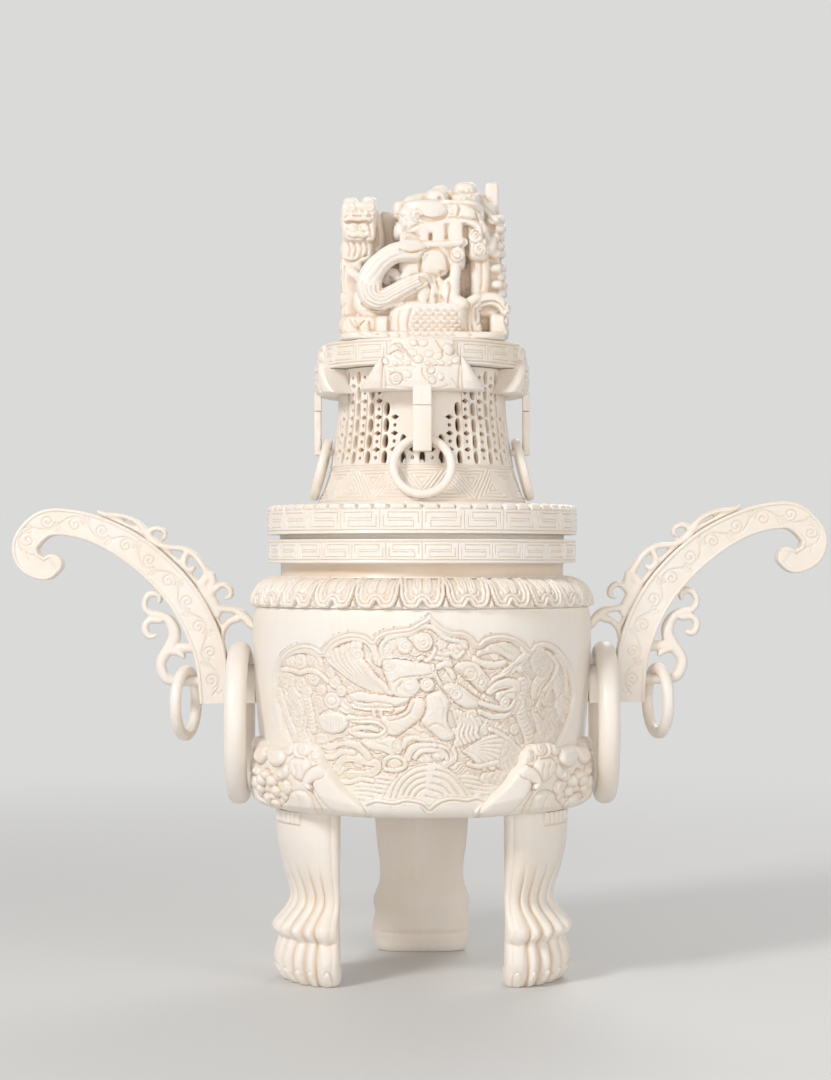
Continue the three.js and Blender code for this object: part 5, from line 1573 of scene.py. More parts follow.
def lion_relief(across, up):
    """A lion's face between two smooth scrolls, both sides alike"""
    relief = Relief(across, up, floor=-2.0)
    band, boss, plate, line = relief.band, relief.boss, relief.plate, relief.line

    def curl(x, y, radius, level, rise, turns, start):
        relief.curl(x, y, radius, level, rise, side * turns, start if side > 0 else 180 - start)

    for side in (1, -1):
        def placed(stations):
            laid = on_sheet(stations, LION_LINE)
            laid[:, 0] = side * (laid[:, 0] - LION_REACH)
            return laid

        relief.sheet = placed

        # Mane and ear
        curl(1312, 728, 4.2, -0.6, 2.0, 1.5, 20)
        curl(1262, 762, 3.0, -1.2, 1.8, 1.3, 200)
        curl(1378, 728, 3.2, -0.4, 1.9, 1.2, 100)
        band([[1345, 700, 2.2], [1352, 735, 2.8], [1338, 765, 2.4], [1308, 775, 1.6]], -0.4, 1.6)
        plate([[1290, 790], [1322, 772], [1362, 772], [1384, 800], [1378, 838], [1342, 876], [1308, 872],
            [1288, 840]], -0.8, 2.4, edge=3)
        line([[1345, 870], [1342, 835], [1352, 795]], 0.6, 0.6)
        line([[1320, 862], [1316, 828], [1325, 795]], 0.4, 0.5)
        # Brow, eye and muzzle
        plate([[1398, 742], [1420, 716], [1452, 712], [1476, 735], [1474, 775], [1452, 808], [1420, 806],
            [1400, 780]], -0.2, 2.6, edge=3.2)
        plate([[1392, 800], [1414, 818], [1440, 830], [1448, 862], [1428, 878], [1398, 866], [1382, 836]],
            -0.6, 2.0, edge=2.4)
        boss(1418, 850, (2.3, 1.9), 0.6, 1.5, ring=0.6)
        curl(1394, 908, 3.4, -0.2, 2.2, 1.3, 150)
        boss(1456, 880, (3.4, 3.0), 0.6, 2.4)
        boss(1482, 848, (2.8, 2.4), 0.8, 2.4)
        boss(1440, 925, (3.0, 2.6), 0.2, 2.2, side * 20)
        curl(1404, 950, 2.4, -0.4, 1.7, 1.2, 250)
        boss(1468, 960, (3.4, 3.0), 0.2, 2.4)
        boss(1436, 985, (3.2, 2.8), -0.2, 2.2)
        boss(1470, 1010, (3.4, 2.6), 0.0, 2.0)
        boss(1412, 1015, (2.6, 2.2), -0.6, 1.8)
        # Cheek and jaw
        plate([[1278, 968], [1306, 930], [1340, 920], [1376, 934], [1392, 972], [1386, 1020], [1368, 1054],
            [1318, 1066], [1262, 1070], [1258, 1020]], -0.8, 2.2, edge=3)
        line([[1306, 1060], [1312, 1010], [1330, 960], [1352, 935]], 0.6, 0.6)
        line([[1350, 1058], [1362, 1010], [1368, 965]], 0.4, 0.5)
        band([[1390, 1062, 2.0], [1420, 1052, 2.4], [1455, 1050, 2.4], [1490, 1050, 2.4]], -0.2, 1.6)
        for x in (1392, 1412, 1432, 1452, 1472):
            line([[x, 1040], [x, 1070]], 0.7, 0.6)
        # The smooth scroll
        line([[1288, 905], [1268, 960], [1240, 1010], [1228, 1068]], 1.4, 1.0)
        band([[1252, 846, 6.4], [1240, 872, 9.6], [1218, 912, 11.4], [1180, 962, 12.4], [1128, 1008, 12.2],
            [1080, 1036, 10.6], [1040, 1056, 7.0], [1018, 1066, 3.4]], 0.6, 1.7, sink=1.2, square=3.2)
        band([[1252, 838, 6.2], [1276, 850, 5.8], [1293, 872, 4.8], [1299, 892, 3.4], [1286, 908, 2.2]],
            0.6, 1.7, sink=1.0, square=3)
    return relief.height


def lion_points():
    pitch, half, low, high = 0.46, 41.5, 79.6, 112.8
    angle = np.linspace(-half, half, int(2 * half * DEGREES * PANEL_RADIUS / pitch)) * DEGREES
    heights = np.append(np.arange(low, high, pitch), high)
    across, up = np.meshgrid(PANEL_RADIUS * angle, heights, indexing="ij")
    edge = on_sheet(LION_EDGE, LION_LINE)[:, :2] - np.array([LION_REACH, 0])
    mirrored = edge[::-1] * np.array([-1, 1])
    outline = smooth_path(np.vstack([edge[1:], [[-47, 79.0]], [[47, 79.0]], mirrored[:-1]]), closed=True,
        spacing=0.8)
    deep = depth_inside(across, up, outline)
    bowl_radius = radius_on(BOWL_LINE, np.maximum(up, 80))
    bold = 1 - 0.62 * eased(np.abs(across), 26, 50)
    # Seen from above, the crown is an arc round a point between the burner's axis and the mask
    ahead, arc, turn = 12, 71.5, across / PANEL_RADIUS
    crown = ahead * np.cos(turn) + np.sqrt(arc ** 2 - (ahead * np.sin(turn)) ** 2)
    full = np.minimum(radius_on(LION_LINE, up), crown)
    thick = np.maximum(full - bowl_radius, 0.4) * bold
    foot = 3.0 * (1 - rounded((up - 79.6) / 3.0))
    sunk = -4.6
    lift = np.where(deep > 0, sunk + (thick + lion_relief(across, up) - sunk) * rounded(deep / 2.0), sunk)
    lift = np.where(deep > 0, np.maximum(lift, -1.2), lift)
    r = bowl_radius + lift - foot * (deep > 0)
    outer = on_cylinder(angle[:, None], r, up)
    back_height = np.array([high, low])
    back = on_cylinder(angle[:, None], radius_on(BOWL_LINE, back_height) - 6.2, back_height)
    return np.concatenate([outer, back], 1)


def lion_masks():
    rings = lion_points()
    for place, angle in LEGS.items():
        name = f"lion_mask_{place}"
        laid = rings @ turned(angle).T
        # The sides stay clear of the big rings, which swing past them
        free, give = 79.2, 2.3
        reach = np.abs(laid[..., 0])
        kept = np.where(reach > free, free + give * np.tanh((reach - free) / give), reach)
        laid[..., 0] = np.sign(laid[..., 0]) * kept
        piece = carved(name, loft(laid))
        finish(piece, "burner", "carved_white", name, crease=60, rounds=12, depth=0.5)


lion_masks()

# The handles

# A handle's own frame: distance out from the belly, height over the tenon's middle, and a width
ARM_STATIONS = [[18.7, -9.4, 13], [19.6, 9.1, 14.8], [23.5, 23.3, 15.6], [31.9, 39.4, 15.6],
    [43.3, 52.9, 15.2], [58.4, 65.2, 14.6], [75.8, 74, 13.2], [91.6, 77.3, 13], [101.2, 75.5, 13],
    [108.6, 67, 12.4], [107.2, 58.8, 11.8], [100, 54.9, 11], [95.9, 57.1, 9.8]]
VINE_STROKES = [[[74.6, 82.6, 1.4], [70.7, 80.9, 2.4], [64.1, 80.4, 2.4], [58.6, 78.8, 2.5], [54.2, 76, 3],
    [50.9, 72.1, 4.2]], [[50.9, 72.1, 4.2], [48.7, 68.8, 4.2], [44.3, 66.1, 3.2], [39.9, 65, 2.8],
    [33.3, 64.4, 3], [27.7, 61.1, 3.4], [23.9, 56.1, 3.4], [21.1, 51.7, 4.4]], [[50.3, 71.3, 3],
    [48.7, 73.5, 2.8], [45.6, 74.3, 2.6], [42.6, 72.9, 2.4], [42, 70.6, 2.2], [43.4, 69.1, 1.6]],
    [[31.6, 62.8, 3], [33.2, 58.9, 3.6], [32.5, 55.7, 3.2], [30, 54.1, 2.8], [28.5, 55.3, 2.2]],
    [[20.6, 43.5, 6], [19.5, 48.4, 5], [19.2, 52.3, 2]], [[21.1, 51.7, 4.4], [24.4, 47.3, 5],
    [21.7, 41.8, 6.5], [18.9, 37.4, 6.2], [17.5, 34, 5.5]], [[18.9, 44.4, 3.4], [16.3, 46.6, 3],
    [13.7, 47.2, 2.8], [10.9, 44.9, 2.8], [10.7, 41.9, 2.6], [12.9, 40.8, 1.8]], [[21.4, 40.2, 5],
    [18, 36.3, 4.4], [12.9, 35.4, 3.2], [7.7, 34.6, 3.8], [3.9, 31.6, 4.6], [0.9, 28, 3.8],
    [-2.5, 25.8, 2.6]], [[7.7, 30.8, 4], [11.6, 29.1, 3.2], [14.2, 25.2, 2.8], [14.8, 21, 2.4]]]
SCROLL_STROKES = [[[44.8, 39.3, 2.2], [44.9, 42, 3.2], [48.4, 43.1, 3.4], [51, 41.4, 3.2], [52.1, 38, 3],
    [51, 34.8, 3.2], [48.4, 33.2, 3.6], [44.6, 32.7, 4], [40.7, 30.5, 5], [38.2, 26.4, 6],
    [37.7, 22.4, 6.2], [39.2, 18.5, 6.2], [41.2, 15.3, 5.8], [43.5, 11.9, 5.4], [44.2, 8.4, 5.2],
    [43.1, 4.6, 5.2], [40.9, 1.9, 5], [37.6, 0.8, 4.5]], [[45, 30.3, 4], [49.3, 30.3, 3.6],
    [51.7, 27.7, 3.6], [51.4, 24.7, 3.6], [49.5, 22.4, 3.2], [46.9, 22.8, 2.2]],
    [[39, 15.7, 4], [34.7, 17, 5], [31.7, 17, 5], [26, 16.6, 5]], [[39.9, 15.4, 4], [36.9, 15, 3.8],
    [34.4, 13.9, 3.2], [33.4, 12.8, 2.4]]]
SCROLL_BAR_HEIGHT, SCROLL_BAR_RADIUS = 0.8, 2.25
ARM_THICK, SCROLL_THICK = 12.0, 7.0
HANDLE_SIGN = {"left": -1, "right": 1}
HANDLE_LIFT = {"left": 0.0, "right": 2.0}


def on_handle(points, side):
    """Points of out, across and up in a handle's frame, put at the burner's side"""
    lift = HANDLE_LIFT[side] * DEGREES
    x, y, z = points[..., 0], points[..., 1], points[..., 2]
    return np.stack([
        HANDLE_SIGN[side] * (BELLY + x * math.cos(lift) - z * math.sin(lift)),
        y,
        TENON_HEIGHT + x * math.sin(lift) + z * math.cos(lift),
    ], -1)


def beside(path, aside, y):
    """Points at distances to the left of the way along a flat path, and at depths y"""
    tangent = np.gradient(path[:, :2], axis=0)
    tangent /= np.hypot(*tangent.T)[:, None]
    x = path[:, None, 0] - tangent[:, None, 1] * aside
    z = path[:, None, 1] + tangent[:, None, 0] * aside
    return np.stack([x, y, z], -1)


def with_round_end(path, steps=9):
    """A path whose last station is followed by a round end"""
    heading = path[-1, :2] - path[-4, :2]
    heading /= np.hypot(*heading)
    half = path[-1, 2] / 2
    extra = []
    for turn in np.linspace(0, 88, steps + 1)[1:] * DEGREES:
        extra.append([*(path[-1, :2] + heading * half * math.sin(turn)), path[-1, 2] * math.cos(turn)])
    return np.vstack([path, extra])


def arm_vine(along, across, length):
    """The scrolling vine cut in an arm's face: a waving stem with a curl in each bend"""
    vine = Relief(along, across)
    wave, start = 13.3, 4.0
    bends = int((length - start - 4) / wave)
    stem = []
    for place in np.arange(start, start + bends * wave, 1.2):
        stem.append([place, 3.5 * math.sin(math.pi * (place - start) / wave)])
    vine.line(stem, 0.42, 0.42)
    for bend in range(bends):
        up = 1 if bend % 2 == 0 else -1
        middle = (start + (bend + 0.52) * wave, -0.5 * up)
        vine.line(spiral(middle, 3.7, -1.55 * up, 180 - 15 * up, 1, inner=0.14, steps=16), 0.42, 0.42)
        tip = np.array([start + (bend + 0.98) * wave, -0.6 * up])
        vine.line([tip, tip + [1.6, -1.5 * up], tip + [3.4, -3.4 * up], tip + [3.0, -4.4 * up]], 0.36, 0.4)
        vine.line([tip + [0.6, 0], tip + [2.4, -0.3 * up], tip + [4.2, 0.3 * up]], 0.34, 0.4)
        root = np.array([start + bend * wave + 1.4, 1.4 * up])
        vine.line([root, root + [-0.6, 1.5 * up], root + [0.5, 3.0 * up]], 0.34, 0.4)
    return vine.height


def handle_arm(side):
    path = with_round_end(smooth_path(ARM_STATIONS, spacing=0.46))
    along = np.concatenate([[0], np.cumsum(np.hypot(*np.diff(path[:, :2], axis=0).T))])
    half = path[:, 2] / 2
    edge = np.array([0, 0.12, 0.4, 0.8, 1.2, 1.45, 1.7, 2.0])
    inner = np.linspace(-1, 1, 29)[1:-1]
    scale = np.minimum(1, half / 4)
    across = np.concatenate([
        -half[:, None] + edge * scale[:, None],
        inner * (half - 2.0 * scale)[:, None],
        half[:, None] - edge[::-1] * scale[:, None],
    ], 1)
    from_edge = half[:, None] - np.abs(across)
    rounding, border, sunk = 0.9, 1.3, 0.45
    bevel = rounding - np.sqrt(np.clip(rounding ** 2 - (rounding - np.minimum(from_edge, rounding)) ** 2, 0,
        None))
    ground = sunk * eased(from_edge, border, border + 0.45) * eased(along[-1] - along, 3, 5)[:, None]
    place = np.broadcast_to(along[:, None], across.shape)
    vine = arm_vine(np.array(place), across, along[-1] - 7)
    vine = vine * (from_edge > border + 0.6)
    front = -ARM_THICK / 2 + bevel + ground - vine
    rows = np.concatenate([beside(path, across, front), beside(path, across[:, ::-1], -front[:, ::-1])], 1)
    name = f"handle_arm_{side}"
    piece = carved(name, loft(on_handle(rows, side)))
    finish(piece, "burner", "carved_white", name, crease=40, rounds=5, depth=0.3)


def stroke_shell(stations, thick, square=2.6, around=20):
    """One stroke of the openwork, rounded over its faces, with round ends"""
    path = smooth_path(stations, spacing=0.5)
    path = with_round_end(path, 5)
    path = with_round_end(path[::-1], 5)
    turn = np.linspace(0, 2 * math.pi, around, endpoint=False)
    c, s = np.cos(turn), np.sin(turn)
    reach = (np.abs(c) ** square + np.abs(s) ** square) ** (-1 / square)
    n = (reach * c)[None, :] * (path[:, 2:3] / 2)
    short = np.minimum(1, 0.35 + path[:, 2:3] / 3.0)
    y = (reach * s)[None, :] * (thick / 2) * short
    return beside(path, n, y)


def blended(name, shells, voxel, smooth):
    """One closed piece made of overlapping shells, with its joints softened"""
    piece = carved(name, *shells)
    modify(piece, "REMESH", mode="VOXEL", voxel_size=voxel * MM)
    modify(piece, "SMOOTH", factor=0.5, iterations=smooth)
    return piece


def vine_rail():
    """The band along the arm's upper edge, which carries the vine"""
    rail, gap = 1.9, 0.3
    stations = []
    for before, at, after in zip(ARM_STATIONS[1:6], ARM_STATIONS[2:7], ARM_STATIONS[3:8]):
        dx, dz = after[0] - before[0], after[1] - before[1]
        long = math.hypot(dx, dz)
        out = at[2] / 2 + gap + rail / 2
        stations.append([at[0] - dz / long * out, at[1] + dx / long * out, rail])
    return stations


def handle_openwork(side):
    bar = [[x, SCROLL_BAR_HEIGHT, 2 * SCROLL_BAR_RADIUS] for x in (18.0, 25.0, 32.0, 38.6)]
    for name, strokes, last, voxel, smooth in (
        ("handle_vine", VINE_STROKES, stroke_shell(vine_rail(), SCROLL_THICK - 1.4, square=4), 0.55, 5),
        ("handle_scroll", SCROLL_STROKES, stroke_shell(bar, 2 * SCROLL_BAR_RADIUS, square=2), 0.5, 4),
    ):
        shells = [*(stroke_shell(stroke, SCROLL_THICK) for stroke in strokes), last]
        name = f"{name}_{side}"
        piece = blended(name, [loft(on_handle(shell, side)) for shell in shells], voxel, smooth)
        finish(piece, "burner", "carved_white", name, crease=70, rounds=8)


def tenon(side):
    """The block that fixes the arm to the bowl, with a half-round top that the large ring hangs over"""
    width, tall, shoulder = 12.0, 18.6, 12.2
    half, crown = width / 2, tall / 2 - width / 2
    turn = np.linspace(0, math.pi, 17)
    section = np.vstack([[[-half, -tall / 2], [half, -tall / 2]],
                         np.stack([half * np.cos(turn), crown + half * np.sin(turn)], 1)])
    body = np.stack([np.column_stack([np.full(len(section), x), section]) for x in (-1.5, shoulder)])
    tongue = np.array([[-3, -5], [3, -5], [3, 5], [-3, 5]])
    key = np.stack([np.column_stack([np.full(4, x), tongue]) for x in (shoulder - 1, shoulder + 7.5)])
    name = f"handle_tenon_{side}"
    piece = carved(name, loft(on_handle(body, side)), loft(on_handle(key, side)))
    ease_edges(piece)
    finish(piece, "burner", "carved_white", name, rounds=3)


def handle_rings(side):
    for name, radius, tube, yaw in (("handle_ring", 33.7, 5.3, 0), ("scroll_ring", 15.5, 2.75, 13.5)):
        low, high = (np.array(corner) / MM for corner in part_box(f"{name}_{side}"))
        ring = loose_ring(f"{name}_{side}", radius, tube, (low + high) / 2,
                          (0, math.pi / 2, HANDLE_SIGN[side] * yaw * DEGREES), square=2.6)
        finish(ring, f"{name}_{side}", "polished_white", f"{name}_{side}")


for side in HANDLE_SIGN:
    tenon(side)
    handle_arm(side)
    handle_openwork(side)
    handle_rings(side)

# The dragon finial

# It was drawn on a second sheet as seen from the front: units across and down, and a depth in mm
FINIAL_UNIT, FINIAL_LEFT, FINIAL_TOP = 0.48 / 7, -48.96, 392.24


def on_finial(x, y, depth):
    """A point of the second sheet at a depth, negative towards the front"""
    near = 1 + depth / EYE_DISTANCE
    across = EYE_ASIDE + (FINIAL_LEFT + FINIAL_UNIT * x - EYE_ASIDE) * near
    height = EYE_HEIGHT + (FINIAL_TOP - FINIAL_UNIT * y - EYE_HEIGHT) * near
    return [across, depth, height]


def lump(centre, radii, square=2.0, rings=14, around=22):
    """A rounded mass, squarer as its power rises"""
    up = np.linspace(-math.pi / 2, math.pi / 2, rings + 1)
    up[0] += 0.02
    up[-1] -= 0.02
    turn = np.linspace(0, 2 * math.pi, around, endpoint=False)

    def power(value):
        return np.sign(value) * np.abs(value) ** (2 / square)

    x = power(np.cos(up))[:, None] * power(np.cos(turn))[None, :] * radii[0]
    y = power(np.cos(up))[:, None] * power(np.sin(turn))[None, :] * radii[1]
    z = np.broadcast_to(power(np.sin(up))[:, None] * radii[2], x.shape)
    return np.stack([x, y, z], -1) + np.array(centre, float)


def limb(stations, around=18, flat=1.0):
    """A round limb through stations of x, y, z and radius, with round ends"""
    stations = np.array(stations, float)
    count = len(stations)
    pieces = []
    for i in range(count - 1):
        before, here = stations[max(i - 1, 0)], stations[i]
        there, after = stations[i + 1], stations[min(i + 2, count - 1)]
        steps = max(3, int(np.linalg.norm((there - here)[:3]) / 0.9))
        t = np.linspace(0, 1, steps, endpoint=False)[:, None]
        pieces.append(between(before, here, there, after, t))
    path = np.vstack([*pieces, stations[-1:]])
    for _ in range(2):
        heading = path[-1, :3] - path[-2, :3]
        heading /= np.linalg.norm(heading)
        ends = [[*(path[-1, :3] + heading * path[-1, 3] * math.sin(a)), path[-1, 3] * math.cos(a)]
                for a in (30 * DEGREES, 60 * DEGREES, 84 * DEGREES)]
        path = np.vstack([path, ends])[::-1]
    tangent = np.gradient(path[:, :3], axis=0)
    tangent /= np.linalg.norm(tangent, axis=1)[:, None]
    side = np.cross(tangent, [0.0, 1.0, 0.0])
    weak = np.linalg.norm(side, axis=1) < 0.15
    side[weak] = np.cross(tangent[weak], [1.0, 0.0, 0.0])
    side /= np.linalg.norm(side, axis=1)[:, None]
    front = np.cross(side, tangent)
    turn = np.linspace(0, 2 * math.pi, around, endpoint=False)
    return (path[:, None, :3] + path[:, None, 3:4] * (np.cos(turn)[None, :, None] * side[:, None]
                                                      + flat * np.sin(turn)[None, :, None] * front[:, None]))


def front_limb(depth, stations, flat=1.0):
    """A limb drawn on the sheet: stations across, down and radius, at one depth or from one to another"""
    depths = np.linspace(*depth, len(stations)) if isinstance(depth, tuple) else [depth] * len(stations)
    return limb([[*on_finial(x, y, d), r] for (x, y, r), d in zip(stations, depths)], flat=flat)


def front_lumps(*rows):
    """Masses drawn on the sheet: across, down, depth, three radii and a squareness"""
    return [lump(on_finial(x, y, depth), radii, square) for x, y, depth, *radii, square in rows]


SCARF = [[700, 702, 4.4], [600, 694, 5.0], [510, 712, 4.9], [430, 768, 5.0], [368, 842, 5.6],
    [343, 925, 6.2], [362, 1004, 5.7], [436, 1030, 5.0], [520, 990, 4.6], [612, 940, 4.4], [725, 890, 3.6]]


def base_masses():
    """The plinth, the scaly coil that rests on it and the mass behind the head"""
    top = DRUM_TOP
    return [lump([0, 0, top + 1.9], [39.2, 39.2, 2.1], square=7, rings=16, around=64),
        *front_lumps((745, 1190, -17, 18.5, 17.5, 9.4, 4.5), (620, 1165, -19, 10, 15, 8.5, 3),
        (900, 1160, -20, 9.5, 14, 9.6, 3)), lump([8, 6, top + 12], [24, 24, 13], 3), lump([12, 2, top + 34],
        [18, 22, 26], 2.4), lump([-8, 21, top + 26], [15, 10, 25], 2.4), lump([29.5, 1, top + 32],
        [6.6, 20.5, 31], 5), *front_lumps((470, 640, 2, 3.8, 7, 15, 6)),
        limb([[-17, 14, top + 4, 8], [-18, 15, top + 22, 6.4], [-16, 15, top + 44, 5.4], [-17, 13, top + 56,
        6.4]])]


def cub_masses():
    """The left pillar, with the lion cub that sits on it"""
    return [*front_lumps((226, 955, -9, 5.05, 8.5, 24.6, 9), (290, 1245, -14, 9.9, 13, 6.0, 4.5),
        (440, 1232, -24, 3.6, 8, 5.6, 4), (268, 690, -11, 7.8, 8.0, 7.0, 4), (276, 462, -10.5, 8.6, 9.5,
        7.2, 6), (262, 565, -11.5, 7.5, 9.0, 5.4, 4.5), (214, 372, -12, 3.7, 6.2, 3.6, 3),
        (346, 366, -12, 3.7, 6.2, 3.6, 3), (280, 385, -13, 4.0, 6.0, 2.4, 3), (262, 455, -18.5, 6.6, 2.6,
        2.6, 4), (250, 575, -19.5, 5.2, 2.6, 3.0, 3), (345, 560, -17, 3.2, 5.0, 4.8, 3)),
        front_limb(-13, [[386, 400, 1.5], [402, 470, 2.0], [412, 560, 2.4], [420, 640, 2.4],
        [398, 690, 1.9]]), front_limb((-15, -22), [[215, 835, 2.4], [252, 862, 2.2], [300, 900, 1.8]])]


def scarf_masses():
    return [front_limb((-30, -32), SCARF, flat=0.7), front_limb(-24, [[440, 765, 4.4], [372, 850, 5.2],
        [352, 935, 5.6], [372, 1000, 5.0]]), front_limb((-20, -28), [[285, 1010, 3.4], [300, 1085, 4.0],
        [372, 1118, 3.8], [452, 1105, 3.8], [560, 1050, 4.2], [660, 990, 3.8], [740, 930, 2.6]]),
        front_limb(-20, [[412, 1145, 2.6], [470, 1130, 3.0], [500, 1180, 3.2], [495, 1280, 3.6]]),
        front_limb((-22, -26), [[468, 900, 2.6], [505, 850, 2.8], [560, 880, 3.0], [600, 880, 3.4]])]


def head_masses():
    """The dragon's snout, brow, crest and horn"""
    return [*front_lumps((850, 430, -17, 18.6, 13.0, 5.6, 5), (640, 480, -20, 6.2, 10.5, 6.8, 3.4),
        (1062, 450, -17, 6.0, 11, 6.0, 3), (560, 415, -14, 3.4, 8, 4.6, 3.4), (662, 372, -15, 5.6, 9, 4.4,
        3), (700, 335, -14, 3.7, 8, 3.0, 3), (815, 345, -16, 5.8, 10, 5.6, 3), (1016, 292, -9, 5.7, 9, 5.4,
        3), (1018, 350, -11, 7.4, 12, 3.8, 3), (1203, 305, -4, 3.4, 3.6, 6.2, 5), (1150, 400, -2, 6.4, 7,
        4.6, 2.6), (562, 560, -21, 3.2, 7, 4.2, 2.6)), front_limb(-14, [[790, 320, 2.8], [815, 280, 2.8],
        [845, 264, 2.6], [880, 290, 2.6], [925, 325, 2.4]]),
        front_limb(-4, [[1208, 400, 3.0], [1206, 330, 2.9], [1204, 270, 2.8]]),
        front_limb(-6, [[1090, 330, 3.4], [1140, 370, 3.6], [1190, 440, 3.4]]),
        front_limb(-12, [[1040, 340, 2.0], [1110, 378, 2.2], [1180, 450, 2.2], [1216, 560, 2.0]]),
        lump([20, 4, DRUM_TOP + 56], [15, 14, 11], 2.6)]


def mouth_masses():
    """The lips, the teeth, the jaw and the tongue that fill the open mouth, with the cheek beside them"""
    return [front_limb((-29.5, -29), [[580, 592, 1.6], [640, 555, 1.5], [705, 526, 1.4], [780, 504, 1.3],
        [860, 490, 1.3], [940, 484, 1.3], [1015, 486, 1.4], [1080, 500, 1.7], [1132, 550, 1.8]]),
        *front_lumps((860, 570, -18, 15, 8.4, 7, 5), (668, 585, -25, 5.8, 5.0, 5.6, 4), (724, 560, -26.8,
        2.6, 3.6, 5.8, 5), (832, 562, -26.8, 3.1, 3.6, 6.0, 5), (948, 560, -26.8, 3.5, 3.6, 6.0, 5),
        (770, 520, -27, 3.6, 3.4, 3.4, 4), (885, 505, -26, 2.2, 3.4, 2.2, 3)), front_limb((-29, -28.5),
        [[590, 642, 2.6], [660, 652, 2.6], [740, 650, 2.3], [850, 646, 2.2], [950, 638, 2.2],
        [1004, 630, 2.2]]), *front_lumps((860, 690, -21, 10.5, 8.4, 5.0, 4), (640, 668, -26, 6.2, 6.4, 3.8,
        2.8), (800, 770, -24.5, 7.2, 7.2, 7.4, 3.4), (650, 790, -23, 6.5, 6.5, 7.5, 3), (925, 760, -22, 6.4,
        7.4, 5.4, 3), (968, 712, -27, 3.3, 3.4, 3.3, 2.6), (1108, 640, -19, 5.6, 9, 9.4, 3.4),
        (1088, 545, -19.5, 5, 8.4, 5.4, 3), (1118, 880, -15, 4.8, 9, 13.0, 5), (740, 960, -21, 8.5, 8, 8,
        3), (860, 960, -19, 8.5, 7, 8.5, 3)), front_limb(-22, [[1150, 700, 2.8], [1190, 672, 3.0],
        [1206, 622, 2.4]])]


def claw_masses():
    """The beard's locks and the claws under the tongue, then the arch and foot at the right"""
    locks = ([[700, 905, 2.6], [728, 950, 3.2], [718, 1010, 2.8], [735, 1062, 2.0]], [[770, 880, 2.6],
        [790, 940, 2.8], [775, 1000, 2.6], [792, 1062, 2.0]], [[832, 905, 2.0], [840, 960, 2.2],
        [832, 1010, 1.8]], [[905, 905, 2.2], [884, 950, 2.6], [895, 990, 2.6], [875, 1050, 2.4]],
        [[950, 820, 2.6], [942, 890, 2.6], [936, 960, 2.8], [946, 1030, 3.0], [1000, 1062, 3.0]])
    return [*[front_limb((-28.5, -30.5), lock) for lock in locks], front_limb(-24, [[1086, 1300, 3.0],
        [1080, 1180, 3.0], [1078, 1095, 3.0], [1108, 1050, 3.0], [1165, 1030, 3.2], [1232, 1036, 3.2],
        [1280, 1076, 2.8], [1296, 1116, 2.2]]), front_limb(-26, [[1022, 1290, 3.6], [1012, 1180, 3.4],
        [1008, 1100, 3.2], [1040, 1060, 2.8], [1100, 1016, 2.2]]), *front_lumps((1165, 1100, -13, 7.6, 9,
        5.0, 4), (1246, 1232, -12, 4.6, 11, 6.6, 4.5)), front_limb(-2, [[1205, 430, 4.0], [1212, 560, 4.4],
        [1208, 700, 4.4], [1210, 840, 4.4], [1215, 1000, 4.2], [1220, 1100, 4.0]])]


# The mane's curls, as places down its right edge on the sheet, and how deep they stand in each row
MANE = ((1248, 475), (1268, 535), (1248, 600), (1260, 655), (1254, 712), (1226, 765), (1260, 815),
    (1266, 872), (1268, 932), (1276, 992))
MANE_DEPTHS = np.array([-18, -11, -4, 3, 10, 17])


def mane_curls():
    """The middle of each curl down the mane, row by row from front to back"""
    for row, (x, y) in enumerate(MANE):
        for depth in MANE_DEPTHS + 3.5 * (row % 2):
            yield on_finial(x - 12 * (row % 2) - 30 * (abs(depth) > 15), y, depth)


def mane_masses():
    return [lump(middle, [3.3, 3.9, 2.35], 2.5) for middle in mane_curls()]


def back_masses():
    """The body's coil over rolling clouds, seen from behind"""
    top = DRUM_TOP
    shells = [limb([[34, 4, top + 26, 5.0], [29, 19, top + 33, 6.0], [14, 29, top + 40, 6.6],
        [-4, 31, top + 38, 6.6], [-20, 25, top + 28, 6.4], [-30, 12, top + 18, 6.0], [-31, 0, top + 12,
        5.0]]), limb([[24, 22, top + 8, 6.0], [10, 31, top + 10, 6.4], [-8, 32, top + 9, 6.4],
        [-24, 23, top + 8, 6.0]]), limb([[22, 20, top + 52, 5.6], [10, 25, top + 60, 5.2],
        [-4, 24, top + 57, 4.8], [-12, 19, top + 50, 4.2]])]
    for x, y, z, r in ((20, 29, 20, 5.4), (6, 34, 22, 5.0), (-9, 33, 22, 5.4), (-15, 26, 44, 5.0),
            (-11, 27, 50, 4.8), (24, 25, 46, 5.2), (4, 29, 50, 4.8), (30, 16, 12, 5.0), (-31, 14, 26, 4.6),
            (-17, 8, 60, 4.6), (12, 22, 66, 5.0), (24, 14, 62, 5.0)):
        shells.append(lump([x, y, top + z], [r, r * 0.8, r], 2.2))
    return shells


def sheet_place(stations):
    """Stations of the second sheet as mm across, mm up and the width that they carry"""
    stations = np.array(stations, float)
    return np.column_stack([FINIAL_LEFT + FINIAL_UNIT * stations[:, 0], FINIAL_TOP - FINIAL_UNIT
        * stations[:, 1], stations[:, 2:]])


class FinialRelief(Relief):
    """A relief with deeper lines, and with snails: low round bosses with a spiral line cut in each"""

    def line(self, stations, depth=0.8, width=0.9):
        super().line(stations, depth, width)

    def snail(self, x, y, radius, turns, start, rise):
        self.boss(x, y, (radius, radius), 0, rise, sink=0.5, square=2.6)
        self.whorl(x, y, radius * 0.68, turns, start, 0.8, 0.7)


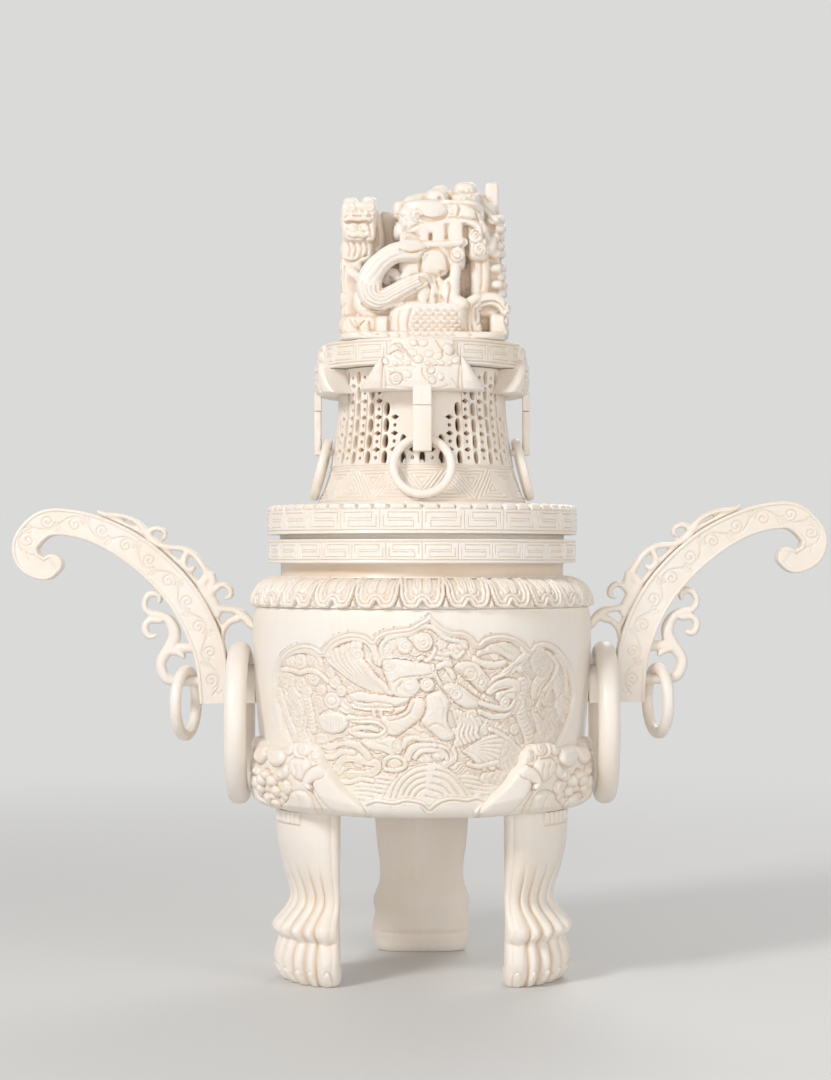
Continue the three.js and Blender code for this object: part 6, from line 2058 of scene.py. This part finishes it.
def carve_side(piece, facing, drawing):
    """Raises and cuts what faces one side of a piece by the heights that a drawing gives"""
    mesh = piece.data
    place, normal = read(mesh, "co") / MM, read(mesh, "normal")
    laid = place @ turned(facing)
    towards = -(normal @ turned(facing))[:, 1]
    spot = (towards > 0.2) & (laid[:, 1] < -4)
    near = 1 + laid[spot, 1] / EYE_DISTANCE
    x = EYE_ASIDE + (laid[spot, 0] - EYE_ASIDE) / near
    z = EYE_HEIGHT + (laid[spot, 2] - EYE_HEIGHT) / near
    sheet = FinialRelief(x, z, floor=-2.0)
    drawing(sheet)
    share = eased(towards[spot], 0.2, 0.5)
    place[spot] += normal[spot] * (np.clip(sheet.height, -1.7, 1.6) * share)[:, None]
    mesh.vertices.foreach_set("co", (place * MM).ravel())
    mesh.update()


def scarf_cuts(sheet):
    """The scarf's strands, then the folds under it"""
    sheet.band([[x, y, 2 * r + 1.8] for x, y, r in SCARF[4:]], 0, 0.2, hair(2.3, 0.7), sink=0)
    sheet.band([[x, y, 2 * r + 1.4] for x, y, r in SCARF[:5]], 0, 0.1, hair(3.1, 0.35), sink=0)
    sheet.line([[296, 1060], [372, 1100], [452, 1084], [560, 1030], [670, 965]], 1.1, 1.2)
    sheet.line([[330, 1110], [410, 1130], [500, 1098], [600, 1052]], 0.8)


def snout_cuts(sheet):
    """Lips and the folds over the snout"""
    sheet.line([[590, 560], [650, 520], [710, 494], [780, 474], [860, 460], [940, 454], [1015, 458],
        [1085, 476], [1140, 520], [1152, 600]], 0.8, 0.7)
    sheet.line([[585, 580], [640, 566], [700, 590]], 0.8)
    sheet.snail(682, 445, 3.0, 1.2, 200, 0.5)
    sheet.line([[716, 452], [780, 470], [835, 462], [880, 438], [898, 404], [884, 372]], 1.6, 1.9)
    sheet.boss(925, 400, (1.9, 2.8), -0.6, -0.4, sink=0.3)
    sheet.line([[965, 352], [978, 392], [966, 436]], 1.5, 1.6)
    sheet.line([[838, 318], [868, 345], [905, 352], [965, 346], [1015, 350], [1080, 382], [1145, 428],
        [1195, 470], [1215, 560]], 1.6, 1.9)
    sheet.line([[1098, 425], [1110, 470], [1140, 520], [1150, 590]], 1.1, 1.0)
    sheet.line([[600, 470], [610, 510], [590, 545]], 0.6)
    sheet.line([[540, 436], [566, 452], [592, 440]], 0.8)
    for x, y in ((985, 285), (1030, 262), (1050, 300), (1010, 318)):
        sheet.boss(x, y, (1.1, 0.9), 0, 0.35, sink=0.35)


def jaw_cuts(sheet):
    """Jaw, tongue and the curl at the corner of the mouth"""
    sheet.line([[700, 835], [702, 770], [722, 715], [760, 682], [805, 672], [850, 684], [884, 722],
        [896, 775], [900, 830]], 1.1, 1.1)
    sheet.snail(964, 716, 3.5, 1.4, 170, 0.9)
    sheet.line([[1000, 660], [1022, 640], [1024, 560], [1014, 508]], 1.2, 1.8)
    sheet.line([[1022, 640], [1032, 700], [1022, 772]], 1.2, 1.6)
    sheet.line([[560, 682], [620, 702], [690, 694], [745, 668]], 1.0, 1.0)
    sheet.line([[600, 690], [640, 700], [690, 690]], 0.8)


def cheek_cuts(sheet):
    """Cheek and the locks over it"""
    sheet.snail(1092, 585, 3.6, 1.3, 60, 1.0)
    sheet.snail(1120, 680, 3.2, 1.2, 300, 0.9)
    sheet.line([[1160, 560], [1180, 620], [1168, 690], [1190, 740]], 1.1, 1.1)
    sheet.line([[1128, 770], [1134, 850], [1126, 970]], 0.9)


def beard_cuts(sheet):
    """Hollows among the beard's locks"""
    for x, y in ((725, 892), (870, 856), (836, 1020)):
        sheet.boss(x, y, (2.6, 1.6), -1.0, -0.4, turn=-35, sink=0)
    for x in (760, 820, 900):
        sheet.line([[x, 905], [x + 10, 960], [x - 4, 1050]], 0.9, 0.8)


def coil_cuts(sheet):
    """Scales on the coil, with plain folds at its left"""
    patch = [[660, 1100], [740, 1088], [840, 1085], [940, 1090], [975, 1120], [968, 1290], [640, 1290]]

    def scaled(across, up):
        row = np.floor(up / 1.9)
        side = across / 3.8 + 0.5 * (row % 2)
        side = side - np.floor(side) - 0.5
        reach = np.hypot(1 - (up / 1.9 - row), 2.0 * side)
        return 1.1 * (np.clip(1 - reach ** 2, 0, 1) - 0.55)

    sheet.plate(patch, 0, 0.1, sink=0, texture=scaled)
    sheet.line([[640, 1100], [615, 1190], [625, 1290]], 1.1, 1.2)
    sheet.line([[560, 1112], [545, 1190], [560, 1290]], 0.8)
    sheet.line([[487, 1160], [482, 1230], [487, 1290]], 1.2, 1.6)


def arch_cuts(sheet):
    """The arch and the fold that comes over it"""
    sheet.line([[1044, 1070], [1040, 1150], [1042, 1240], [1062, 1290]], 1.2, 1.5)
    sheet.line([[1098, 1180], [1096, 1118], [1126, 1072], [1180, 1048], [1240, 1058], [1290, 1110]], 1.1,
        1.2)


def cub_cuts(sheet):
    """The cub"""
    for x, y, radius in ((214, 380, 2.3), (350, 378, 2.3), (262, 420, 2.0), (310, 425, 2.0),
            (205, 430, 1.8)):
        sheet.snail(x, y, radius, 1.0, 90, 0.5)
    sheet.band([[178, 472, 1.8], [215, 460, 2.4], [262, 468, 2.4], [300, 460, 2.4], [352, 470, 1.8]], 0,
        0.8, sink=0.5)
    sheet.line([[178, 494], [230, 488], [290, 492], [350, 486]], 1.1, 1.0)
    for x in (228, 305):
        sheet.boss(x, 525, (2.6, 2.0), 0, 0.7, sink=0.5, ring=0.55)
    sheet.line([[338, 500], [352, 545], [358, 600]], 1.2, 1.5)
    sheet.line([[196, 590], [225, 612], [262, 600], [300, 612], [335, 594]], 1.1, 1.2)
    for k in range(4):
        sheet.line([[196 + 42 * k, 640], [210 + 42 * k, 680], [200 + 40 * k, 730]], 0.9, 1.0)
    sheet.line([[384, 440], [398, 520], [402, 650]], 0.9)
    sheet.line([[170, 452], [240, 448], [310, 452], [360, 440]], 0.8)
    sheet.line([[160, 752], [215, 768], [270, 752], [330, 716]], 1.0, 1.0)


def pillar_cuts(sheet):
    """Folds down the left pillar and the leaf at its foot"""
    sheet.line([[174, 800], [168, 950], [170, 1120], [176, 1290]], 0.4)
    sheet.line([[212, 1170], [236, 1215], [272, 1240], [300, 1285]], 0.9, 1.0)
    sheet.line([[248, 1180], [262, 1210], [272, 1240]], 0.8)
    sheet.line([[310, 1180], [285, 1210], [262, 1240]], 1.0, 1.0)
    sheet.line([[345, 1190], [360, 1250], [410, 1275]], 1.0, 1.0)


def front_of_dragon(sheet):
    """What is cut in the finial's front"""
    sheet.sheet = sheet_place
    for drawing in (scarf_cuts, snout_cuts, jaw_cuts, cheek_cuts, beard_cuts, coil_cuts, arch_cuts,
            cub_cuts, pillar_cuts):
        drawing(sheet)


def back_of_dragon(sheet):
    """The scaly body that passes behind, with clouds above and below it"""
    body = [[-36, 322, 11], [-27, 331, 12.5], [-14, 337.5, 13.4], [2, 340, 13.6], [17, 334, 13.2],
        [29, 324, 12], [36, 315, 10]]
    sheet.band(body, 0, 0.7, scales(3.0, 1.0), sink=0.6)
    spine = [[x, z + 0.42 * width, 2.0] for x, z, width in body]
    sheet.band(spine, 0.3, 0.9, beads(2.4, 0.8))
    clouds = ((-27, 309, 5.2, 0), (-14, 316, 4.6, 120), (-2, 308, 5.6, 40), (13, 316, 4.8, 200),
        (27, 307, 5.2, 90), (-30, 350, 4.6, 60), (-17, 356, 5.0, 10), (-4, 352, 4.4, 150),
        (8, 361, 5.0, 80), (18, 350, 4.6, 220), (30, 344, 4.4, 30), (-8, 366, 4.2, 70), (-24, 366, 3.8, 0),
        (24, 362, 4.0, 300))
    for x, z, radius, start in clouds:
        for k in range(2):
            tail = [[x - radius + 0.4 * k, z - 0.8 - 1.6 * k, 1.0], [x - 0.2 * radius, z - radius - 1.2 * k,
                1.8], [x + radius, z - 1.05 * radius - 1.3 * k, 1.6], [x + 2 * radius, z - 0.7 * radius - k,
                0.8]]
            sheet.band(tail, 0, 0.6, sink=0.4)
        sheet.boss(x, z, (radius, radius), 0, 0.9, square=2.6)
        sheet.whorl(x, z, radius * 0.74, 1.6, start, 1.0, 0.9, inner=0.1)


def right_of_dragon(sheet):
    """A spiral on each of the mane's curls, and clouds under them, seen from the right"""
    near = 1 - 37 / EYE_DISTANCE
    for count, (_, y, z) in enumerate(mane_curls()):
        x, up = EYE_ASIDE + (y - EYE_ASIDE) / near, EYE_HEIGHT + (z - EYE_HEIGHT) / near
        sheet.whorl(x, up, 2.1, 1.3, 70 * count, 0.7, 0.7, inner=0.15)
    for row in range(3):
        for place in range(6):
            x, z = -24 + 9.0 * place + 4.5 * (row % 2), 308 + 5.6 * row
            sheet.boss(x, z, (3.6, 2.8), 0, 0.7, turn=20, sink=0.7)
            sheet.whorl(x, z, 2.3, 1.3, 200 * (row % 2), 0.8, 0.7, inner=0.15)


def left_of_dragon(sheet):
    """The cub's mane and the cloud under it, seen from the left"""
    for x, z, radius in ((-8, 306, 5.0), (8, 308, 5.0), (20, 312, 4.6), (-20, 310, 4.6), (0, 320, 4.6),
            (14, 324, 4.4), (-13, 323, 4.2), (24, 330, 4.0), (6, 335, 4.2), (-6, 344, 3.6), (9, 349, 3.6),
            (-3, 356, 3.4), (6, 363, 3.2), (12, 340, 3.4), (-14, 338, 3.4)):
        sheet.boss(x, z, (radius, radius), 0, 0.8, square=2.6)
        sheet.whorl(x, z, radius * 0.74, 1.4, 40 * radius, 0.9, 0.8)


def dragon_finial():
    shells = (base_masses() + cub_masses() + scarf_masses() + head_masses() + mouth_masses() + claw_masses()
              + mane_masses() + back_masses())
    piece = blended("dragon_finial", [loft(shell) for shell in shells], 0.54, 2)
    drawings = {0: front_of_dragon, 180: back_of_dragon, 90: right_of_dragon, 270: left_of_dragon}
    for facing, drawing in drawings.items():
        carve_side(piece, facing, drawing)
    modify(piece, "DECIMATE", ratio=0.45)
    x, y, z = read(piece.data, "co").T / MM
    # Painted shade deep in the finial's front, in the hollow behind the scarf, the jaw and the beard
    recess_shade = eased(y, -26, -17) * (1 - eased(y, -4, 4)) * eased(x, -24, -19) * (1 - eased(x, 27, 30))
    recess_shade = 0.55 * recess_shade * eased(z, DRUM_TOP + 4, DRUM_TOP + 10) * (1 - eased(z, DRUM_TOP + 58,
        DRUM_TOP + 64))
    finish(piece, "cover", "carved_white", "dragon_finial", crease=80, rounds=22, depth=0.27, deep=recess_shade)


dragon_finial()
